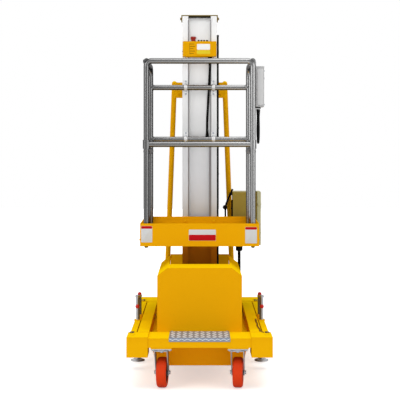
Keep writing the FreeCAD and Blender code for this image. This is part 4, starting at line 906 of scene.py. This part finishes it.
def sections_details():
    """Slide pads and a chain wheel at the top of each section but the front one."""
    for word, body in (("fourth", "mast_fourth"), ("third", "mast_third"),
                       ("second", "mast_second"), ("fixed", "base")):
        section_low, section_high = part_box(f"mast_{word}_section")
        front, top = section_low.y, section_high.z
        pads = Shape()
        for side in BOTH:
            x = sorted((side * 0.0675, side * 0.0985))
            pads.box(x, (front + 0.0008, front + 0.0072), (top, top + 0.003), 0.0006)
        pads.done(f"slide_pads_{word}", body, "black_plastic")
        sheave = Shape()
        web = front + 0.038
        centre = Vector((0, web - 0.0205, top - 0.030))
        sheave.lathe(((0.0165, -0.0065), (0.0172, -0.006), (0.0172, -0.0045), (0.0140, -0.0025),
                      (0.0140, 0.0025), (0.0172, 0.0045), (0.0172, 0.006), (0.0165, 0.0065)),
                     centre, (1, 0, 0), 32)
        sheave.lathe(((0.0045, -0.018), (0.0050, -0.0175), (0.0050, 0.0175), (0.0045, 0.018)),
                     centre, (1, 0, 0), 20)
        for way in BOTH:
            x = sorted((way * 0.0095, way * 0.0135))
            sheave.box(x, (web - 0.030, web - 0.0005), (centre.z - 0.020, centre.z + 0.010), 0.001)
            sheave.bolt((way * 0.0135, centre.y, centre.z), (way, 0, 0), 0.0075)
        sheave.box((-0.030, 0.030), (web - 0.003, web - 0.0002),
                   (centre.z - 0.026, centre.z + 0.016), 0.0008)
        sheave.done(f"chain_wheel_{word}", body, "zinc_steel")


def mast_cable_details():
    """Ribbed sleeve over the mast cable, a boot on it and a clip at each end."""
    ends = Shape()
    for z, way in ((1.832, 1), (0.494, -1)):
        ends.lathe(((0.0044, -0.016 * way), (0.0060, -0.014 * way), (0.0066, 0.0),
                    (0.0062, 0.004 * way), (0.003, 0.006 * way)), (MAST_CABLE_X, MAST_CABLE_Y, z),
                   (0, 0, 1), 20)
        low, high = sorted((z, z + way * 0.004))
        ends.box((0.0985, 0.106), (0.2925, 0.3055), (low - 0.002, high), 0.001)
    ends.lathe(((0.0046, -0.024), (0.0066, -0.018), (0.0074, -0.006), (0.0074, 0.008),
                (0.0064, 0.020), (0.0046, 0.026)), (MAST_CABLE_X, MAST_CABLE_Y, 1.742),
               (0, 0, 1), 24)
    ends.lathe(ribbed(0.502, 1.825, 0.0105, ((0.0056, 0), (0.0061, 0.15), (0.0061, 0.85))),
               (MAST_CABLE_X + 0.0008, MAST_CABLE_Y, 0), count=14)
    ends.done("mast_cable_fittings", "basket", "black_rubber")


# Basket

def platform_details():
    low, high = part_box("platform")
    front = low.y
    # Columns: name, x limits, z limits
    for name, x, z in (
            ("sign_left", (-0.309, -0.250), (0.688, 0.775)),
            ("sign_right", (0.241, 0.303), (0.683, 0.770)),
            ("sign_middle", (-0.057, 0.086), (0.697, 0.756))):
        plate(name, "basket", "yellow_paint", "label_white", x, front, z, 0.0009)
    for name, x, z in (
            ("sign_left_band", (-0.3083, -0.2507), (0.7608, 0.7744)),
            ("sign_right_band", (0.2417, 0.3023), (0.7558, 0.7694)),
            ("sign_middle_band", (-0.0563, 0.0853), (0.6977, 0.7285))):
        plate(name, "basket", "yellow_paint", "label_red", x, front - 0.0006, z, 0.0007)
    lozenges("floor_tread", "basket", "yellow_paint", (-0.256, 0.256), (-0.203, 0.226), 0.673,
             0.0262, (0.027, 0.0080, 0.0013))
    rows = [(side * 0.082, back(0.967), z, "-y", 0.0085) for z in (0.759, 0.705) for side in BOTH]
    rows += [(side * high.x, y, 0.700, OUTWARD[side], 0.0065) for side in BOTH
             for y in (front + 0.030, high.y - 0.030)]
    bolts("toe_board_bolts", "basket", "yellow_paint", rows)
    rubber = Shape()
    for y in (front + 0.022, high.y - 0.060):
        for side in BOTH:
            rubber.lathe(((0.0105, 0), (0.0105, 0.0015), (0.0090, 0.0075), (0.0075, 0.0090),
                          (0.003, 0.0094)), (side * POST_X, y, low.z), (0, 0, -1), 24)
    rubber.done("basket_bumpers", "basket", "black_rubber")


def rail_details():
    feet = Shape()
    beads = []
    for side in BOTH:
        x = side * POST_X
        for y in (FRONT_POST_Y, REAR_POST_Y):
            feet.lathe(((0.0152, 0), (0.0210, 0), (0.0214, 0.0008), (0.0214, 0.0030),
                        (0.0200, 0.0038), (0.0165, 0.0042), (0.0153, 0.0060), (0.0152, 0.0060)),
                       (x, y, 0.671), count=32)
        for y in (FRONT_POST_Y + 0.0155, REAR_POST_Y - 0.0155):
            beads.append((x, y, MIDDLE_RAIL_HEIGHT, "+y", RAIL_RADIUS))
        for z in REAR_BAR_HEIGHTS:
            beads.append((x - side * 0.0155, REAR_POST_Y, z, "+x", RAIL_RADIUS))
    feet.done("post_feet", "basket", "rail_steel")
    weld_rings("rail_weld_beads", "basket", "rail_steel", beads)
    cap = Shape()
    cap.lathe(((0.0110, 0), (0.0116, 0.0006), (0.0116, 0.0016), (0.0085, 0.0028), (0.003, 0.0030)),
              (-0.2975, FRONT_POST_Y, 1.6465), (-1, 0, 0), 28)
    cap.done("rail_end_cap", "basket", "black_plastic")
    nuts = []
    saddles = Shape()
    for z in REAR_BAR_HEIGHTS:
        for side in BOTH:
            x = side * CLAMP_X
            saddles.lathe(((RAIL_RADIUS, -0.0095), (0.0162, -0.0088), (0.0162, 0.0088),
                           (RAIL_RADIUS, 0.0095)), (x, REAR_POST_Y, z), (1, 0, 0), 32)
            for dz, size in ((0.0185, 0.0066), (0.036, 0.0060)):
                nuts += [(x, CLAMP_NUT_Y, z + way * dz, "-y", size) for way in BOTH]
    bolts("clamp_nuts", "basket", "zinc_steel", nuts)
    saddles.done("clamp_saddles", "basket", "mast_aluminium", "clamp_aluminium")


def control_details():
    low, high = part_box("control_box")
    front, top = low.y, high.z
    plate("control_label", "basket", "yellow_paint", "label_bright", (-0.0150, 0.0600), front,
          (1.7480, 1.7815), 0.0006)
    plate("control_band", "basket", "yellow_paint", "label_lime", (-0.0160, 0.0610), front,
          (1.7230, 1.7455), 0.0005)
    marks = Shape()
    for z, width in ((1.7800, 0.024), (1.7665, 0.030), (1.7530, 0.020), (1.7395, 0.028),
                     (1.7270, 0.022)):
        marks.box((-0.0550, -0.0550 + width), (front - 0.0004, front + 0.0005), (z, z + 0.0022), 0)
    marks.box((-0.0575, -0.0562), (front - 0.0004, front + 0.0005), (1.7240, 1.7840), 0)
    marks.done("control_scale_marks", "basket", "black_plastic")
    trim = Shape()
    trim.lathe(((0.0128, 0), (0.0180, 0), (0.0186, 0.0008), (0.0186, 0.0030), (0.0176, 0.0038),
                (0.0128, 0.0038)), (-0.036, CONTROL_BOX_Y, top), count=36)
    for k in range(4):
        trim.lathe(((0.0062, 0), (0.0076, 0), (0.0079, 0.0006), (0.0079, 0.0020), (0.0070, 0.0026),
                    (0.0062, 0.0026)), (-0.006 + k * 0.0162, CONTROL_BOX_Y, top), count=24)
    trim.done("control_collars", "basket", "black_plastic")
    rows = [(low.x, CONTROL_BOX_Y, 1.742, "-x", 0.0055), (-0.100, 0.300, 1.703, "-x", 0.0055)]
    rows += [(side * 0.084, CONTROL_BOX_Y, low.z, "-z", 0.005) for side in BOTH]
    rows += [(high.x, y, z, "+x", 0.0045) for y in (0.210, 0.272) for z in (1.724, 1.785)]
    bolts("control_bolts", "basket", "zinc_steel", rows)
    nuts = Shape()
    for x, y, z, way, radius in ((*CONTROL_GLAND, 1.712, -1, 0.0132),
                                 (*MAST_GLAND, 1.246, 1, 0.0108)):
        nuts.lathe(((radius - 0.0010, 0), (radius, 0.0008 * way), (radius, 0.0052 * way),
                    (radius - 0.0012, 0.0060 * way)), (x, y, z), count=6)
    nuts.done("control_gland_nuts", "basket", "black_plastic")


def junction_details():
    plate("junction_panel", "basket", "junction_grey", "panel_grey", (0.3085, 0.3410), -0.2040,
          (1.4180, 1.6090), 0.0016)
    band = Shape()
    band.box((0.2995, 0.3458), (-0.2016, -0.0802), (1.6135, 1.6248), 0.0008)
    band.done("junction_top_band", "basket", "junction_grey")
    latch = Shape()
    latch.box((0.3448, 0.3478), (-0.1500, -0.1320), (1.5430, 1.5710), 0.0008)
    latch.lathe(((0.0055, 0), (0.0060, 0.0006), (0.0060, 0.0018), (0.0040, 0.0026)),
                (0.3478, -0.141, 1.563), (1, 0, 0), 20)
    latch.done("junction_latch", "basket", "zinc_steel")
    rows = [(0.345, y, z, "+x", 0.0045) for y in (-0.190, -0.092) for z in (1.420, 1.600)]
    bolts("junction_screws", "basket", "zinc_steel", rows)
    nuts = Shape()
    for x, y in JUNCTION_GLANDS:
        nuts.lathe(((0.0118, 0), (0.0126, -0.0008), (0.0126, -0.0062), (0.0114, -0.0070)),
                   (x, y, 1.408), count=6)
    nuts.done("junction_gland_nuts", "basket", "black_plastic")


def reliefs():
    """Tapered strain reliefs where each cable leaves its gland."""
    shape = Shape()
    profile = [(0.0066, -0.034), (0.0074, -0.0335), (0.0074, -0.029), (0.0071, -0.0285)]
    for k in range(4):
        low = -0.0265 + k * 0.0055
        radius = 0.0078 + k * 0.0005
        profile += [(radius, low), (radius, low + 0.0032), (radius - 0.0007, low + 0.0036),
                    (radius - 0.0007, low + 0.0052)]
    profile += [(0.0095, -0.0045), (0.0098, -0.0005), (0.0098, 0.002)]
    for x, y, z, way in ((*CONTROL_GLAND, 1.696, 1), (*MAST_GLAND, 1.252, -1),
                         *((*gland, 1.392, 1) for gland in JUNCTION_GLANDS)):
        shape.lathe([(r, h * way) for r, h in profile], (x, y, z), count=20)
    shape.done("strain_reliefs", "basket", "black_rubber")


# Electrical box

def box_details():
    seal = Shape()
    proud, wide = 0.0009, 0.003
    x = (0.3334, 0.3364)
    for y in (BOX_FRONT_Y - proud, BOX_BACK_Y + proud - wide):
        seal.box(x, (y, y + wide), (BOX_BOTTOM - proud, BOX_TOP + proud), 0.0003)
    for z in (BOX_BOTTOM - proud, BOX_TOP + proud - wide):
        seal.box(x, (BOX_FRONT_Y, BOX_BACK_Y), (z, z + wide), 0.0003)
    seal.done("lid_seal", "box_lid", "black_rubber")
    latch = Shape()
    for z in (0.690, 0.856):
        latch.box((0.3372, 0.3560), (BOX_FRONT_Y - 0.0026, BOX_FRONT_Y - 0.0002),
                  (z - 0.012, z + 0.012), 0.0008)
        latch.box((0.3392, 0.3540), (BOX_FRONT_Y - 0.0046, BOX_FRONT_Y - 0.0020),
                  (z - 0.007, z + 0.007), 0.0008)
        latch.lathe(((0.0048, 0), (0.0052, 0.0005), (0.0052, 0.0018), (0.0036, 0.0024)),
                    (0.3582, BOX_FRONT_Y + 0.020, z), (1, 0, 0), 20)
    latch.done("lid_latches", "box_lid", "zinc_steel", "lid_olive")
    bolts("box_screws", "base", "zinc_steel",
          [(x, BOX_FRONT_Y, z, "-y", 0.0045) for x in (0.210, 0.320) for z in (0.636, 0.910)],
          "box_olive")


def conduit_details():
    nuts = Shape()
    # Columns: height of the wall, way out of it
    for z, way in ((BOX_BOTTOM, -1), (0.217, 1)):
        for start, radius, tall in ((0.004, 0.0222, 0.010), (0.020, 0.0215, 0.008)):
            end = start + tall
            nuts.lathe(((radius - 0.001, start * way), (radius, (start + 0.001) * way),
                        (radius, (end - 0.001) * way), (radius - 0.001, end * way)),
                       (0.233, back(1.060), z), count=6, phase=0.3)
    nuts.done("conduit_gland_nuts", "base", "black_plastic")
    low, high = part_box("box_conduit")
    crest = (high.x - low.x) / 2
    hose = Shape()
    hose.lathe(ribbed(low.z, high.z, 0.0055, ((crest - 0.0014, 0), (crest - 0.0012, 0.2),
                                              (crest, 0.42), (crest, 0.78))),
               ((low.x + high.x) / 2, (low.y + high.y) / 2, 0), count=20)
    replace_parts(hose.done("conduit_hose", "base", "black_rubber"), "box_conduit")


def lever_and_shade_bar():
    """Release lever with its ball, and a black bar with two clips down the left side of the box,
    as painted shade of the gap there.
    """
    lever = Shape()
    lever.box((0.1890, 0.1955), (back(1.150), back(1.176)), (0.9020, 0.9260), 0.001)
    # Columns: x, distance behind the chassis front, z
    lever.sweep([(x, back(distance), z) for x, distance, z in (
        (0.1975, 1.163, 0.9390), (0.1925, 1.164, 0.9270), (0.1830, 1.167, 0.9060),
        (0.1715, 1.172, 0.8800), (0.1615, 1.175, 0.8540), (0.1545, 1.176, 0.8290),
        (0.1545, 1.176, 0.7980), (0.1550, 1.176, 0.7700))], 0.0060, 12)
    lever.ball(0.0140, (0.1530, back(1.176), 0.829), (0, 1, 0), 15, 24)
    lever.done("release_lever", "base", "black_plastic")
    # Painted shade: a black bar in the dark gap beside the box
    shade_bar = Shape()
    y = back(1.030)
    shade_bar.sweep([(x, y, z) for x, z in (
        (0.1965, 0.8790), (0.1918, 0.8775), (0.1900, 0.8730), (0.1900, 0.7500), (0.1900, 0.6500),
        (0.1918, 0.6455), (0.1965, 0.6440))], 0.0052, 12)
    for z in (0.690, 0.830):
        shade_bar.box((0.1835, 0.1962), (y - 0.0065, y + 0.0065), (z - 0.004, z + 0.004), 0.0008)
    shade_bar.done("box_side_shade_bar", "base", "black_rubber")


for build in (step_plate_details, chassis_bolts, chassis_trim, safety_chain, outrigger_details,
              wheel_details, front_section_details, sections_details, mast_cable_details,
              platform_details, rail_details, control_details, junction_details, reliefs,
              box_details, conduit_details, lever_and_shade_bar):
    build()

bpy.context.scene.view_layers[0].update()
